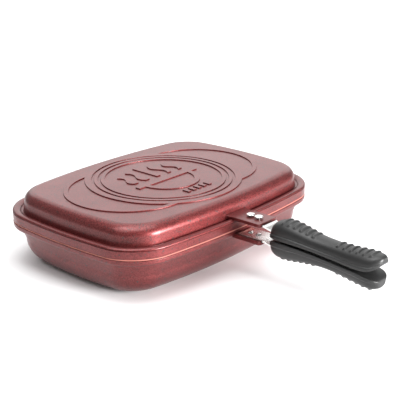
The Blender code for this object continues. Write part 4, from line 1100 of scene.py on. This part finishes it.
# Each soft box: azimuth and elevation in degrees, distance, size and power
SOFT_BOXES = {
    "key_light": (10.0, 11.0, 2.8, (1.4, 1.0), 200.0),
    "top_light": (0.0, 86.0, 2.0, (1.6, 1.6), 30.0),
    "left_light": (-100.0, 66.0, 2.0, (1.4, 1.4), 16.0),
    "back_light": (132.0, 36.0, 2.8, (3.2, 3.2), 42.0),
}
CAMERA_LENS = 89.72
CAMERA_CLIP = (0.05, 50.0)
CAMERA_DISTANCE = 1.3005
CAMERA_TARGET = Vector((0.0868, 0.0182, 0.0284))
CAMERA_AZIMUTH = math.radians(-48.2781)
CAMERA_ELEVATION = math.radians(19.8176)
CAMERA_ROLL = math.radians(-0.3464)


def soft_light(name, azimuth, elevation, distance, size, power):
    """Soft box that faces the pan, placed by its direction from it."""
    data = bpy.data.lights.new(name, "AREA")
    data.shape = "RECTANGLE"
    data.size, data.size_y = size
    data.energy = power
    lamp = link(name, data)
    turn, rise = math.radians(azimuth), math.radians(elevation)
    level = math.cos(rise)
    away = Vector((math.sin(turn) * level, -math.cos(turn) * level, math.sin(rise)))
    lamp.location = away * distance
    lamp.rotation_mode = "QUATERNION"
    lamp.rotation_quaternion = away.to_track_quat("Z", "Y")


floor_mesh = bpy.data.meshes.new("floor")
corners = ((-1, -1), (1, -1), (1, 1), (-1, 1))
spots = [(x * FLOOR_HALF, y * FLOOR_HALF, 0) for x, y in corners]
floor_mesh.from_pydata(spots, [], [(0, 1, 2, 3)])
floor = link("floor", floor_mesh)
paper = Finish("floor_paper", roughness=FLOOR_ROUGH_SHARE)
paper_cloud = paper.noise(paper.place(), FLOOR_CLOUD_SCALE)
floor_shade = tuple(FLOOR_SHADE_SHARE * c for c in FLOOR_WHITE)
paper.feed("Base Color", paper.blend(paper_cloud, FLOOR_WHITE, floor_shade))
floor_mesh.materials.append(paper.material)

world = bpy.data.worlds.new("studio")
world.use_nodes = True
backdrop = world.node_tree.nodes["Background"]
backdrop.inputs["Color"].default_value = (1.0, 1.0, 1.0, 1.0)
backdrop.inputs["Strength"].default_value = WORLD_STRENGTH
bpy.context.scene.world = world
bpy.context.scene.view_settings.view_transform = "Standard"

for name, values in SOFT_BOXES.items():
    soft_light(name, *values)

rise = math.cos(CAMERA_ELEVATION)
back = Vector((math.sin(CAMERA_AZIMUTH) * rise, -math.cos(CAMERA_AZIMUTH) * rise,
               math.sin(CAMERA_ELEVATION)))
level = Vector((math.cos(CAMERA_AZIMUTH), math.sin(CAMERA_AZIMUTH), 0))
above = back.cross(level)
right = level * math.cos(CAMERA_ROLL) + above * math.sin(CAMERA_ROLL)
upward = above * math.cos(CAMERA_ROLL) - level * math.sin(CAMERA_ROLL)
camera_data = bpy.data.cameras.new("camera")
camera_data.lens = CAMERA_LENS
camera_data.clip_start, camera_data.clip_end = CAMERA_CLIP
camera = link("camera", camera_data)
turn = Matrix((right, upward, back)).transposed().to_4x4()
camera.matrix_world = Matrix.Translation(CAMERA_TARGET + back * CAMERA_DISTANCE) @ turn
bpy.context.scene.camera = camera
